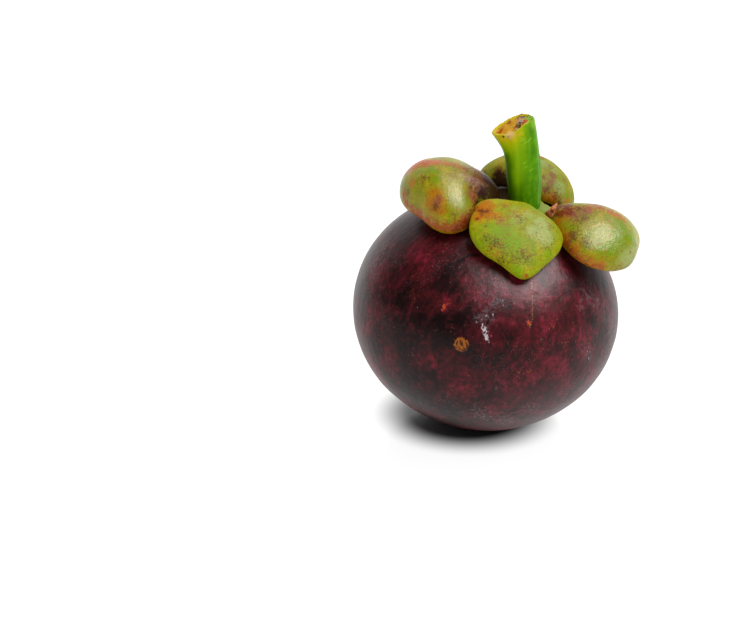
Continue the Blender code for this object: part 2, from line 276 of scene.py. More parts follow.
# %% Small wounds on the rind
SCUFFS = [
    (73.6, -98.8, 0.9, 1.0), (75.4, -97.2, 0.9, 1.0), (76.8, -96.2, 0.7, 0.8), (72.0, -100.5, 0.5, 0.9),
    (71.3, -102.8, 0.4, 0.8), (67.5, -101.0, 1.3, 0.5), (70.0, -99.0, 1.4, 0.5),
    (66.0, -97.5, 0.9, 0.45), (71.3, -73.7, 0.35, 0.9), (72.0, -70.7, 0.35, 0.8),
    (73.0, -67.3, 0.35, 0.7), (67.3, -107.4, 0.3, 0.9), (60.8, -93.8, 1.0, 0.5),
    (60.0, -97.5, 1.1, 0.4), (76.5, -48.0, 1.4, 0.4), (80.0, -45.0, 1.6, 0.4),
    (63.8, -131.1, 0.25, 0.8), (48.3, -77.3, 0.7, 0.35),
]
RUST = [
    (70.6, -119.1, 0.7, 1.0), (72.3, -119.3, 0.5, 0.8), (68.2, -117.0, 0.5, 0.7),
    (69.2, -118.4, 0.9, 0.5), (66.7, -119.1, 0.5, 0.5), (50.9, -137.3, 0.35, 0.9),
    (63.4, -138.9, 0.4, 0.6), (63.0, -135.3, 0.35, 0.7), (65.7, -139.7, 0.3, 0.6),
    (54.9, -138.7, 0.3, 0.6), (69.1, -133.8, 0.3, 0.6), (69.2, -131.8, 0.3, 0.6),
    (85.4, -76.3, 0.7, 0.6), (83.0, -81.9, 0.5, 0.55), (81.1, -78.1, 0.3, 0.6),
    (93.7, -113.7, 0.35, 0.6), (94.8, -112.5, 0.35, 0.5), (77.7, -59.8, 0.4, 0.6),
    (77.8, -58.5, 0.35, 0.5), (58.7, -48.9, 0.3, 0.5), (76.4, -73.8, 0.35, 0.6),
    (117.3, -96.9, 0.35, 0.5), (113.4, -74.1, 0.35, 0.6), (72.5, -40.6, 0.4, 0.6),
    (52.1, -78.6, 0.35, 0.7), (66.0, -80.6, 0.6, 1.1), (61.1, -85.6, 0.3, 0.6), (63.5, -86.7, 0.3, 0.5),
    (60.4, -67.0, 0.3, 0.6), (54.0, -62.3, 0.3, 0.5), (65.3, -39.7, 0.25, 0.8),
    (52.6, -123.0, 0.3, 0.5), (74.8, -135.9, 0.3, 0.5),
]
FRECKLES = [
    (57, -140, 4, 0.5), (68, -135, 5, 0.5), (60, -76, 4, 0.7), (66, -70, 5, 0.6), (73, -60, 5, 0.7),
    (64, -55, 4, 0.5), (80, -80, 5, 0.5), (90, -75, 8, 0.4), (110, -85, 8, 0.4), (88, -110, 6, 0.4),
    (70, -40, 5, 0.5), (52, -110, 4, 0.3),
]
SCAR = (82.0, -106.2)
SCAR_RADIUS = 1.75
CREASES = [
    [(43.5, -116), (44.7, -120.6), (46.4, -123.2), (48.8, -124.1), (50.4, -125.8), (52.5, -126)],
    [(53.5, -118.5), (57.8, -119.7), (60.2, -119.9), (64.7, -120.1), (67, -120)],
]
LATEX_TRAIL = [(46.5, -81.5), (50, -81), (55, -80.3), (60, -79.6), (64, -79.2), (69, -79.9)]


def places(marks):
    """Marks given by angles as points of the skin, with their radius and height."""
    return [(on_rind(polar, azimuth), radius, height) for polar, azimuth, radius, height in marks]


def along(route, spacing=0.25):
    """Points of the skin along a route given by angles, closer together than the spacing."""
    points = []
    for start, end in zip(route, route[1:]):
        steps = math.ceil(np.linalg.norm(on_rind(*start) - on_rind(*end)) / spacing)
        for step in range(steps):
            share = step / steps
            points.append(on_rind(*(a + (b - a) * share for a, b in zip(start, end))))
    return points


# %% [markdown]
# The side that faces away gets marks of the same kinds from a seeded draw, so the fruit is whole
# from all sides. A fixed seed means that every run makes the same fruit.

# %% Marks on the far side
draw = np.random.default_rng(7)


def far_side(count, radius, height):
    """Random places on the half of the fruit that has none of its own yet."""
    found = []
    for _ in range(count):
        polar = math.degrees(math.acos(draw.uniform(-0.75, 0.6)))
        azimuth = draw.uniform(-8, 172)
        found.append((polar, azimuth, radius * draw.uniform(0.6, 1.3), height * draw.uniform(0.5, 1.0)))
    return found


RED += far_side(30, 4.0, 0.9)
DARK += far_side(30, 3.4, 1.0)
WAX_BLOOM_AND_SHEEN += far_side(24, 4.0, 0.9)
SCUFFS += far_side(14, 0.8, 0.9)
RUST += far_side(30, 0.4, 0.8)
FRECKLES += far_side(10, 5.0, 0.7)
print("marks:", sum(map(len, (RED, DARK, WAX_BLOOM_AND_SHEEN, SCUFFS, RUST, FRECKLES))))

# %% [markdown]
# Relief comes from real geometry. Wide lumps of a tenth of a millimetre make the gloss wander, the
# russet scar stands 0.3 mm proud and is wound like a snail, two creases run down from the sepals,
# and the flat spot is where the points would dip under the table.

# %% Build the rind
RIND_SIDES = 480
RIND_RINGS = 200
POLE_ANGLE = 0.006
RIND_LUMPS = [(0.11, 13.0), (0.035, 4.0), (0.012, 1.3)]
SCAR_COIL = 0.85
SCAR_EDGE = 0.5
SCAR_HEIGHT = 0.12
SCAR_RIDGE = 0.16
CREASE_WIDTH = 0.32
CREASE_DEPTH = 0.06
RUST_HEIGHT = 0.10
SCUFF_DEPTH = 0.03


def scar_depth(points):
    """How far inside the scar's ragged edge each point is, in millimetres."""
    away = np.linalg.norm(points - on_rind(*SCAR), axis=-1)
    return SCAR_RADIUS - away + 0.45 * ripple(points, 1.3)


def scar_coil(points):
    """1 on the ridge that winds round the scar and 0 in its groove."""
    offset = points - on_rind(*SCAR)
    turn = np.arctan2(offset[..., 2], offset[..., 0])
    away = np.linalg.norm(offset, axis=-1) + 0.25 * ripple(points, 0.9)
    return 0.5 + 0.5 * np.cos(2 * math.pi * away / SCAR_COIL + turn)


def crease_lines(points):
    """1 along the two creases that run down from the sepals."""
    return near(points, [(place, CREASE_WIDTH, 1.0) for route in CREASES for place in along(route)])


def rind_relief(points):
    """How far each point of the skin stands out, in millimetres."""
    relief = sum(height * ripple(points, size) for height, size in RIND_LUMPS)
    relief += smooth_step(scar_depth(points) / SCAR_EDGE) * (SCAR_HEIGHT + SCAR_RIDGE * scar_coil(points))
    relief -= CREASE_DEPTH * crease_lines(points)
    relief += RUST_HEIGHT * near(points, places(RUST)) - SCUFF_DEPTH * near(points, places(SCUFFS))
    return relief


turns = np.linspace(0, 2 * math.pi, RIND_SIDES, endpoint=False)
polars = np.linspace(POLE_ANGLE, math.pi - POLE_ANGLE, RIND_RINGS)[:, None]
base = direction(polars, turns) * rind_radius(polars, turns)[..., None]
rind_points = base + direction(polars, turns) * rind_relief(base)[..., None]
up = np.array((0.0, 0.0, 1.0))
rind_body = skin(rind_points, up * rind_radius(0.0, 0.0), -up * rind_radius(math.pi, 0.0))
rind_flat = placed(rind_body[0])
rind_flat[:, 2] = np.maximum(rind_flat[:, 2], 0.0)
print("rind relief, mm:", round(float(np.ptp(rind_relief(base[::8, ::8]))), 2))

# %% [markdown]
# ### Ripe mangosteen skin
#
# The skin is a waxy, leathery plant surface: a satin gloss with an IOR of about 1.4 and a roughness
# near 0.4, over pigment that goes from brown-black to maroon. Under a hand lens it is marbled at
# every scale from 6 mm to 0.2 mm, brushed from stem to base, and freckled with corky dots of 0.3 to
# 0.5 mm. A painted picture would be one way, but it would be tied to one view. Here each stain is a
# layer: an attribute says where it may be, and noise of a real size frays its edge. Object
# coordinates are in metres, so a noise scale is one over a size in metres. Old wax is full of fine
# pores, which swallow some of the gloss, so the shine is set below the 0.5 of a clean surface.

# %% A layered plant skin
LAYER_FIELDS = "where colour size fray start cover rough soft lines grain"
Layer = namedtuple("Layer", LAYER_FIELDS, defaults=(0.3, 0, 0))
SKIN_IOR = 1.4
GROUND_DETAIL = 9.0


def mottle(tree, size, coordinates, detail=4.0):
    """Noise with patches of a size in millimetres, and finer ones the more detail it has."""
    settings = {"Scale": 1.0 / (size * MM), "Detail": detail, "Roughness": 0.62}
    return add_node(tree, "ShaderNodeTexNoise", settings, {"Vector": coordinates}).outputs["Fac"]


def plant_skin(name, ground, roughness, layers, bumps, shine=0.5):
    """A satin plant skin: marbled ground tones, then stains that lie where an attribute is high.

    A layer is the attribute's name, a hex colour, the patch size in mm, how far noise frays it, the
    level at which it starts, how much it covers, its roughness and how soft its edge is. Lines
    draws thin threads instead of patches, and grain stretches them along the brushed direction.
    A bump is a size and a height in mm.
    """
    material = bpy.data.materials.new(name)
    material.use_nodes = True
    tree = material.node_tree
    shader = tree.nodes["Principled BSDF"]
    shader.inputs["IOR"].default_value = SKIN_IOR
    shader.inputs["Specular IOR Level"].default_value = shine
    place = add_node(tree, "ShaderNodeTexCoord").outputs["Object"]
    brushed = add_node(tree, "ShaderNodeAttribute", {"attribute_name": "grain"}).outputs["Vector"]
    ripeness = add_node(tree, "ShaderNodeAttribute", {"attribute_name": "ripeness"}).outputs["Fac"]
    tone = ripeness
    for size, share, along_grain in ground["noises"]:
        cloud = mottle(tree, size, brushed if along_grain else place, GROUND_DETAIL)
        settings = {"operation": "MULTIPLY_ADD", 1: share}
        tone = add_node(tree, "ShaderNodeMath", settings, {0: cloud, 2: tone}).outputs[0]
    steps = add_node(tree, "ShaderNodeValToRGB", links={0: tone})
    elements = steps.color_ramp.elements
    for at, colour in ground["tones"][2:]:
        elements.new(at)
    for element, (at, colour) in zip(elements, sorted(ground["tones"])):
        element.position, element.color = at, linear(colour)
    colour = steps.outputs["Color"]
    settings = {3: roughness[0], 4: roughness[1]}
    rough = add_node(tree, "ShaderNodeMapRange", settings, {0: tone}).outputs[0]
    for layer in layers:
        field = add_node(tree, "ShaderNodeAttribute", {"attribute_name": layer.where}).outputs["Fac"]
        patches = mottle(tree, layer.size, brushed if layer.grain else place)
        start, fray = layer.start + layer.fray / 2, layer.fray
        if layer.lines:
            settings = {"operation": "SUBTRACT", 1: 0.5}
            middle = add_node(tree, "ShaderNodeMath", settings, {0: patches}).outputs[0]
            settings = {"operation": "ABSOLUTE"}
            patches = add_node(tree, "ShaderNodeMath", settings, {0: middle}).outputs[0]
            start, fray = layer.start, -layer.fray
        settings = {"operation": "MULTIPLY_ADD", 1: fray}
        frayed = add_node(tree, "ShaderNodeMath", settings, {0: patches, 2: field}).outputs[0]
        settings = {"interpolation_type": "SMOOTHSTEP", 1: start, 2: start + layer.soft, 4: layer.cover}
        mask = add_node(tree, "ShaderNodeMapRange", settings, {0: frayed}).outputs[0]
        settings = {"data_type": "RGBA", 7: linear(layer.colour)}
        colour = add_node(tree, "ShaderNodeMix", settings, {0: mask, 6: colour}).outputs[2]
        rough = add_node(tree, "ShaderNodeMix", {3: layer.rough}, {0: mask, 2: rough}).outputs[0]
    tree.links.new(colour, shader.inputs["Base Color"])
    tree.links.new(rough, shader.inputs["Roughness"])
    normal = None
    for size, height in bumps:
        settings = {"Distance": height * MM, "Strength": 1.0}
        bump = add_node(tree, "ShaderNodeBump", settings, {"Height": mottle(tree, size, place)})
        if normal:
            tree.links.new(normal, bump.inputs["Normal"])
        normal = bump.outputs["Normal"]
    tree.links.new(normal, shader.inputs["Normal"])
    return material


# %% The rind's material
RIND_GROUND = {
    "noises": [(6.0, 0.42, 0), (1.0, 0.30, 0), (1.2, 0.28, 1)],
    "tones": [
        (0.38, "#0E0203"), (0.45, "#260508"), (0.52, "#40080F"), (0.58, "#5E0E1E"), (0.66, "#822036"),
    ],
}
RIND_LAYERS = [
    # Dark patches, and painted shade along the two creases.
    Layer("dark", "#0D0203", 1.6, 1.6, 0.50, 0.80, 0.34, soft=0.5),
    Layer("streak", "#140406", 0.6, 3.0, 0.80, 0.40, 0.36, soft=1.0, grain=1),
    # Wax bloom, and painted grey reflection on the rind's left and right edges.
    Layer("haze", "#6A5458", 0.7, 2.4, 0.45, 0.75, 0.42, soft=0.9),
    Layer("fleck", "#8A6270", 0.30, 5.0, 1.00, 0.45, 0.42, soft=0.6),
    Layer("freckle", "#9E4426", 0.45, 4.5, 1.05, 0.75, 0.42, soft=0.4),
    Layer("hair", "#A2603A", 2.2, 14.0, 0.75, 0.50, 0.42, soft=0.4, lines=1),
    Layer("scuff", "#C9C4C8", 0.4, 3.2, 0.60, 0.90, 0.60, soft=0.5, grain=1),
    Layer("rust", "#B8461A", 0.5, 1.8, 0.45, 0.85, 0.45, soft=0.4),
    Layer("trail", "#94763C", 0.4, 3.4, 0.55, 0.75, 0.40, soft=0.5),
    Layer("scar", "#9C5816", 0.6, 1.2, 0.10, 1.00, 0.50, soft=0.4),
    Layer("fold", "#3C1A08", 0.4, 1.6, 0.40, 0.95, 0.60, soft=0.5),
]
RIND_ROUGHNESS = (0.32, 0.42)
RIND_BUMPS = [(2.0, 0.10), (0.45, 0.03)]
RIND_SHINE = 0.28
rind_skin = plant_skin(
    "ripe_mangosteen_skin", RIND_GROUND, RIND_ROUGHNESS, RIND_LAYERS, RIND_BUMPS, RIND_SHINE,
)

# %% The rind's piece
RED_SHIFT = 0.055
DARK_SHIFT = -0.065
BRUSHED_STRETCH = 0.5

field_points = rind_body[0]
polar = np.arccos(field_points[:, 2] / np.linalg.norm(field_points, axis=1)) - math.pi / 2
azimuth = np.arctan2(field_points[:, 1], field_points[:, 0])
grain = direction(math.pi / 2 + BRUSHED_STRETCH * polar, azimuth) * BODY_RADIUS
rind = add_piece("rind_skin", (rind_flat, rind_body[1]), rind_skin, "rind", grain)

# Painted shade: the dark stain also follows the two creases, and through ripeness darkens the tone along
# them.
dark = np.maximum(near(field_points, places(DARK)), 1.2 * crease_lines(field_points))
coil = scar_coil(field_points)
depth = scar_depth(field_points)
mark(
    rind,
    ripeness=RED_SHIFT * near(field_points, places(RED)) + DARK_SHIFT * dark,
    dark=dark,
    haze=0.12 + 0.3 * ripple(field_points, 7.0) + 0.8 * near(field_points, places(WAX_BLOOM_AND_SHEEN)),
    streak=0.5 + 0.4 * ripple(field_points, 4.0),
    fleck=0.25 + 0.6 * ripple(field_points, 5.0),
    freckle=0.15 + 0.5 * ripple(field_points, 3.0) + 0.6 * near(field_points, places(FRECKLES)),
    hair=0.3 + 0.9 * ripple(field_points, 1.6) + 0.3 * near(field_points, places(FRECKLES)),
    scuff=near(field_points, places(SCUFFS)),
    rust=near(field_points, places(RUST)),
    trail=near(field_points, [(place, 0.25, 0.9) for place in along(LATEX_TRAIL)]),
    scar=depth,
    fold=np.where(depth > 0, 1.1 - coil, 0) * smooth_step(depth / SCAR_EDGE),
)

# %% [markdown]
# ## The sepals
#
# Four sepals stay on the fruit. Each is a thick, leathery cup, open underneath, whose rim curls in
# towards the rind. They could be cut from a hollow egg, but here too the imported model's formula is
# used: a dome over an outline with its own front, back and sides, whose wall goes on past the
# widest part, turns round the rim and comes back inside.

# %% The sepals' form
SEPAL_THICKNESS = 1.7
RIM_ANGLE = math.radians(112)
LIP_ANGLE = math.radians(4)
OUTLINE_POWER = 2.3
CUP_BEND_RADIUS = 40
CROWN_FULLNESS = 0.25
FULL_FROM, FULL_OVER = 15, 50
SEPALS = {
    "sepal_left": dict(
        azimuth=183, out=18.3, up=-0.6, droop=22, roll=-5.5, turn=14,
        front=8.1, back=11.1, left=13.3, right=11.9, height=7.0, skirt=4.8,
        bulges=((46, -1.5, 35), (125, -3.3, 24), (166, 2.0, 18)),
    ),
    "sepal_front": dict(
        azimuth=265, out=11.2, up=1.9, droop=20, roll=-1, turn=-9,
        front=11.9, back=5.1, left=9.5, right=10.5, height=2.6, skirt=4.9,
        bulges=((21, 2.0, 16), (-50, 0.3, 25), (-171, 0.8, 25)),
    ),
    "sepal_right": dict(
        azimuth=-17, out=18.9, up=1.45, droop=8.5, roll=5.5, turn=14.5,
        front=8.1, back=10.8, left=8.5, right=9.5, height=5.7, skirt=3.3,
        bulges=((32, 1.5, 25), (-106, 1.8, 35), (166, 2.3, 18)),
    ),
    "sepal_back": dict(
        azimuth=79, out=15.6, up=0.2, droop=25.5, roll=-3, turn=-1,
        front=10.5, back=10.6, left=11.5, right=11.1, height=7.2, skirt=5.0,
        bulges=(),
    ),
}


def sepal_outline(shape, turn, fullness):
    """Half size of the dome seen from above, at an angle from its tip's direction."""
    ahead, aside = np.cos(turn), np.sin(turn)
    lengthwise = np.abs(ahead) / np.where(ahead > 0, shape["front"], shape["back"])
    sideways = np.abs(aside) / np.where(aside > 0, shape["left"], shape["right"])
    radius = (sideways ** OUTLINE_POWER + lengthwise ** OUTLINE_POWER) ** (-1 / OUTLINE_POWER)
    for toward, amount, spread in shape["bulges"]:
        away = np.remainder(turn - math.radians(toward) + math.pi, 2 * math.pi) - math.pi
        radius = radius + fullness * amount * np.exp(-((away / math.radians(spread)) ** 2))
    return radius


def sepal_points(shape, bend, turn, inward):
    """Points of the dome in its own frame: +X to its tip, +Z out of the fruit."""
    filled = smooth_step((np.degrees(bend) - FULL_FROM) / FULL_OVER)
    fullness = CROWN_FULLNESS + (1 - CROWN_FULLNESS) * filled
    reach = (sepal_outline(shape, turn, fullness) - inward) * np.sin(bend)
    depth = np.where(bend < math.pi / 2, shape["height"], shape["skirt"])
    height = (depth - inward) * np.cos(bend) - reach ** 2 / (2 * CUP_BEND_RADIUS)
    return np.stack([reach * np.cos(turn), reach * np.sin(turn), height], -1)


def sepal_frame(shape):
    """Where a sepal's dome sits on the fruit."""
    turn = Matrix.Rotation(math.radians(shape["azimuth"]), 4, "Z")
    place = Matrix.Translation(Vector((shape["out"], 0.0, shape["up"])))
    droop = Matrix.Rotation(math.radians(shape["droop"]), 4, "Y")
    roll = Matrix.Rotation(math.radians(shape["roll"]), 4, "X")
    spin = Matrix.Rotation(math.radians(shape["turn"]), 4, "Z")
    lift = Matrix.Translation(Vector((0.0, 0.0, float(rind_radius(0.0, 0.0)))))
    return FRUIT_FRAME @ lift @ turn @ place @ droop @ roll @ spin


# %% [markdown]
# The wall is 1.7 mm thick. Going down the outside, round the lip and up the inside is one path, so
# one list of bend angles and one of depths into the wall describe the whole cup. Soft lumps keep
# the four from looking pressed from one mould, and two of the domes swell to one side by 0.6 to 0.7
# mm, which moves the light on them.

# %% Build a sepal
SEPAL_SIDES = 168
OUTER_RINGS = 62
LIP_RINGS = 8
INNER_RINGS = 22
SEPAL_LUMPS, SEPAL_LUMP_SIZE = 0.16, 6.0
SEPAL_GRAIN, SEPAL_GRAIN_SIZE = 0.03, 1.4
SWELLINGS = {"sepal_front": ((1.8, 5.2, 2.0), 5.0, 0.7), "sepal_left": ((-3.8, 11.2, 0.3), 4.5, 0.6)}
RIM_FROM, RIM_OVER = 62, 50


def sepal_path():
    """Bend angles and depths into the wall, from the crown outside to the crown inside."""
    down = np.linspace(0, RIM_ANGLE, OUTER_RINGS + 1)[1:]
    round_lip = np.linspace(0, math.pi, LIP_RINGS + 2)[1:-1]
    up = np.linspace(RIM_ANGLE, 0, INNER_RINGS + 1)[:-1]
    bends = np.concatenate([down, RIM_ANGLE + LIP_ANGLE * np.sin(round_lip), up])
    depths = SEPAL_THICKNESS * np.concatenate([0 * down, 0.5 - 0.5 * np.cos(round_lip), 1 + 0 * up])
    return bends[:, None], depths[:, None]


def build_sepal(name, shape, material):
    """A thick cup with a rounded rim, and the numbers that its material reads."""
    bends, depths = sepal_path()
    around = np.linspace(0, 2 * math.pi, SEPAL_SIDES, endpoint=False)[None, :]
    bends, depths, around = np.broadcast_arrays(bends, depths, around)
    plain = sepal_points(shape, bends, around, depths)
    outside = 1 - depths / SEPAL_THICKNESS
    relief = SEPAL_LUMPS * ripple(plain + shape["azimuth"], SEPAL_LUMP_SIZE)
    relief += SEPAL_GRAIN * ripple(plain, SEPAL_GRAIN_SIZE)
    relief += near(plain, [SWELLINGS[name]] if name in SWELLINGS else [])
    rings = sepal_points(shape, bends, around, depths - relief * outside)
    crown = [(0.0, 0.0, shape["height"]), (0.0, 0.0, shape["height"] - SEPAL_THICKNESS)]
    points, faces = skin(rings, *crown)
    body = (placed(points, sepal_frame(shape)), faces)
    piece = add_piece(name + "_skin", body, material, name)
    rim = smooth_step((np.degrees(bends) - RIM_FROM) / RIM_OVER)
    return piece, points, np.append(rim, [0.0, 0.0]), np.append(outside, [1.0, 0.0])


# %% [markdown]
# ### Leathery sepal skin
#
# The sepals are the same kind of waxy plant skin, but yellow-green, with brown specks of 0.3 mm, a
# red-orange blush on the rims and purple-brown where they leave the stem, which is partly painted shade
# in the corners by the stem. One skin in three states of wear covers them all. The left and the right one
# are still waxy, and their gloss breaks up over a fine grain. The front one has lost its wax, apart from
# a pale patch, and is finely pitted, like the peel of a lime; that pale patch is a painted highlight as
# well as smoother skin. The back one and the cushion under the sepals are matt. The stains of each sepal
# are placed in its own frame. Each is five numbers: a place in millimetres from the middle of the dome, a
# radius and a strength.

# %% Stains on the left and the front sepal
SEPAL_STAINS = {
    "sepal_left": dict(
        ripeness=[(3, 6, 4, 6.0, 0.8), (-1, 3, 6, 5.0, 0.9), (0, 11, 1, 4.0, 0.3)],
        blush=[
            (4, -6, 4, 2.2, 1.1), (2.9, -5.2, 5.6, 2.4, 1.2), (1.3, -2.7, 6.6, 1.9, 1.0),
            (-0.4, -1.6, 6.9, 1.6, 1.0), (-2.2, -0.2, 6.7, 1.5, 0.7), (-3.9, 0.8, 6.4, 1.5, 0.6),
            (-5.3, 1.8, 5.8, 1.5, 0.5),
        ],
        rim=[
            (7.6, -1.1, 1.0, 1.6, 0.7), (7.8, 0.3, -0.2, 1.6, 0.8), (7.2, 2.5, -0.9, 1.5, 0.9),
            (6.3, 5.0, -1.6, 1.9, 1.2), (5.5, 8.1, -1.4, 1.6, 1.0), (4.4, 10.3, -1.4, 1.5, 0.9),
            (3.2, 11.7, -1.6, 1.5, 0.9), (1.6, 12.4, -1.6, 1.4, 0.9), (0.1, 12.5, -1.5, 1.5, 1.0),
            (-1.2, 12.2, -1.0, 1.5, 1.0),
        ],
        lime=[
            (3.3, -0.9, 6.2, 1.3, 0.8), (1.9, 0.9, 6.8, 1.5, 0.9), (1.0, 2.4, 6.8, 1.3, 0.8),
            (2.0, 4.3, 6.1, 1.6, 0.8), (2.3, 6.3, 5.2, 1.5, 0.4), (-5.0, 5.4, 4.3, 1.3, 0.5),
            (1.9, 10.7, 2.0, 2.0, 0.4), (5.5, 2.8, 3.8, 1.8, 0.4),
        ],
        brown=[
            (3.7, 2.1, 5.9, 0.8, 0.7), (2.9, 3.1, 6.1, 0.7, 0.6), (4.5, 3.5, 4.9, 0.8, 0.5),
            (7.0, 0.1, 2.3, 1.0, 0.7), (3.9, 9.0, 2.2, 0.9, 0.8), (1.8, 11.1, 1.5, 1.0, 0.4),
            (0.5, 11.7, 0.9, 1.2, 0.5),
        ],
        amber=[
            (3.4, 7.3, 4.0, 2.0, 0.9), (3.6, 8.7, 2.9, 2.2, 1.0), (4.5, 7.4, 2.7, 1.6, 0.8),
            (3.0, 10.1, 2.0, 1.6, 0.7), (5.9, -0.1, 4.1, 1.2, 0.7),
        ],
        rose=[
            (2.7, 8.3, 3.8, 0.7, 1.0), (1.9, 8.3, 4.2, 0.6, 0.5), (-1.8, 4.5, 6.1, 1.6, 0.4),
            (3.4, 8.6, 3.0, 1.2, 0.8), (-4.7, 7.5, 1.9, 1.9, 1.1), (4, -7, 3, 1.6, 0.7),
            (-5.0, 4.0, 5.0, 1.8, 0.5), (-1.5, 11.6, -0.2, 1.6, 0.7),
        ],
        russet=[
            (-5.2, 6.1, 3.2, 1.6, 0.5), (-7.1, 4.6, 3.8, 2.4, 1.0), (-7.4, 5.8, 1.9, 2.0, 1.1),
            (-5.6, 7.6, 0.6, 1.4, 0.7), (-4.4, 9.4, -0.6, 1.8, 1.1), (-3.2, 11.0, -0.8, 1.8, 1.2),
            (-1.6, 12.4, -1.4, 1.6, 1.1), (0.4, 12.8, -2.0, 1.2, 0.8), (-6.0, 2.0, 5.4, 1.8, 0.6),
            (-7.0, -1.0, 5.0, 1.6, 0.4), (-8.6, 1.6, 4.2, 2.2, 1.1), (-9.4, -0.6, 3.6, 2.0, 1.0),
            (-9.6, 3.6, 2.8, 2.0, 1.2),
        ],
        # Purple-brown at the neck, partly painted shade in the corner by the stem.
        base=[
            (-8.0, 5.8, 0.8, 2.0, 1.2), (-6.0, 8.0, -0.8, 1.8, 1.1), (-2.9, 11.8, -2.0, 1.4, 0.9),
            (-10.6, 3.4, 2.3, 2.2, 1.2), (-11.3, 4.3, 0.0, 3.0, 1.5), (-11.5, 1, 1, 2.6, 1.2),
            (-11.6, 5.8, -1.6, 2.6, 1.4),
        ],
        speck=[(2, 9, 3, 4.0, 0.5), (-4, 4, 5, 5.0, 0.8), (4, 3, 5, 3.0, 0.6), (0, -4, 6, 4.0, 0.4)],
    ),
    "sepal_front": dict(
        ripeness=[(1, -7, 1, 5.0, 1.0), (0, -2, 2.2, 4.0, 0.8)],
        spot=[
            (-0.7, -5.0, 1.9, 0.9, 0.8), (4.5, -4.1, 1.8, 0.7, 0.8), (4.9, -3.6, 1.8, 0.6, 0.7),
            (6.7, -1.6, 1.5, 0.6, 0.9), (8.6, -4.5, 0.5, 0.6, 0.8), (8.0, -2.4, 0.9, 0.6, 0.8),
            (9.6, -2.4, 0.2, 0.8, 0.7), (11.1, -2.1, -0.7, 1.0, 0.8), (8.9, 2.2, 0.8, 0.6, 0.9),
            (8.4, 3.2, 0.9, 0.5, 0.9), (10.0, 3.2, 0.3, 1.2, 0.6), (11.8, 1.3, -0.8, 1.0, 0.6),
            (6.8, 5.8, 0.7, 0.8, 0.5), (9.4, 5.9, -0.2, 0.8, 0.4), (6.3, 2.4, 1.6, 0.6, 0.6),
            (12.7, 5.3, -2.2, 0.8, 0.8), (-1.6, 3.2, 2.1, 0.8, 0.5), (1.8, -1.5, 2.4, 0.8, 0.6),
            (3, -3.5, 2.0, 1.5, 0.5),
        ],
        blush=[(-1.0, -4.5, 1.9, 0.8, 0.5), (12.7, 5.3, -2.2, 0.8, 0.5)],
        rim=[],
        lime=[
            (7.1, -3.4, 1.2, 2.6, 1.1), (8.1, -1.5, 1.0, 2.6, 1.1), (8.7, 0.4, 0.8, 2.4, 1.0),
            (9.0, -4.0, 0.3, 2.2, 0.9), (6.0, -5.4, 0.8, 1.6, 0.8), (5.8, 7.6, 0.0, 1.8, 0.7),
            (10.4, 3.0, 0.2, 1.8, 0.5), (1.5, 7.6, 1.0, 1.6, 0.6), (12.7, 3.4, -1.6, 1.4, 0.9),
            (3.6, 7.7, 0.4, 1.8, 0.4), (9.4, -5.9, -0.4, 1.5, 0.5),
        ],
        brown=[
            (9.6, -3.4, 0.1, 2.0, 0.6), (11.0, 1.6, -0.4, 1.8, 0.5), (12.2, -1.0, -1.2, 1.8, 0.6),
            (8.8, -5.4, -0.2, 1.4, 0.6), (2.4, -8.7, 0.4, 0.8, 0.9), (4.8, -8.9, -0.2, 0.6, 0.6),
            (6.6, -6.6, 0.6, 0.5, 0.7), (1.8, -1.0, 2.4, 0.5, 0.5), (3.4, 0.6, 2.3, 0.5, 0.5),
            (5.5, 1.4, 1.9, 0.4, 0.5),
        ],
        amber=[
            (1.1, -9.4, 0.0, 1.5, 1.2), (2.4, -8.1, 0.7, 1.6, 1.2), (3.7, -8.9, 0.1, 1.4, 1.1),
            (3.2, -6.9, 1.2, 1.3, 0.8), (-0.8, -8.6, 0.5, 1.6, 0.7), (0.6, -7.4, 1.1, 1.4, 0.6),
            (3.1, -5.3, 1.7, 1.4, 0.5), (10.0, -2.6, 0.1, 2.4, 0.2),
        ],
        rose=[
            (1, -2.5, 2.3, 2.0, 0.4), (4.4, -4.2, 1.8, 1.4, 0.6), (5.0, -3.0, 1.7, 1.0, 0.5),
            (-0.6, -4.6, 1.9, 0.9, 0.5),
        ],
        # Painted highlight: the pale patch over the upper dome, where the soft box would shine.
        pale=[
            (3.3, 5.4, 2.3, 2.8, 1.0), (0.9, 4.0, 2.9, 2.6, 0.9), (3.9, 3.0, 2.7, 2.2, 0.8),
            (2.2, -1.0, 2.6, 2.4, 0.5), (0.2, 0.6, 2.7, 1.8, 0.6), (-0.6, -2.6, 2.2, 1.4, 0.4),
        ],
        base=[(1.6, -10.5, -1.4, 1.4, 0.9)],
        russet=[
            (1.8, -9.3, 0.2, 0.8, 0.8), (2.2, -7.9, 0.9, 0.7, 0.8), (4.6, -9.0, -0.2, 0.6, 0.7),
            (3.4, -8.4, 0.3, 0.5, 0.7),
        ],
        speck=[
            (1.5, -1, 2.3, 2.5, 0.6), (-0.5, 5.5, 1.6, 3.0, 0.6), (9.6, 3.2, 0.4, 2.8, 1.0),
            (4, -6, 1, 3.0, 0.5), (11, 0, -0.6, 3.0, 0.7), (11, -4, -1, 3.0, 0.8), (5, 7, 1, 4.0, 0.5),
            (9.4, -1.5, 0.4, 3.0, 0.6),
        ],
        vein=[(2.5, -0.5, 2.4, 2.6, 1.0), (4.5, 0.6, 2.1, 2.0, 0.9), (0.5, -2, 2, 2.0, 0.6)],
    ),
}

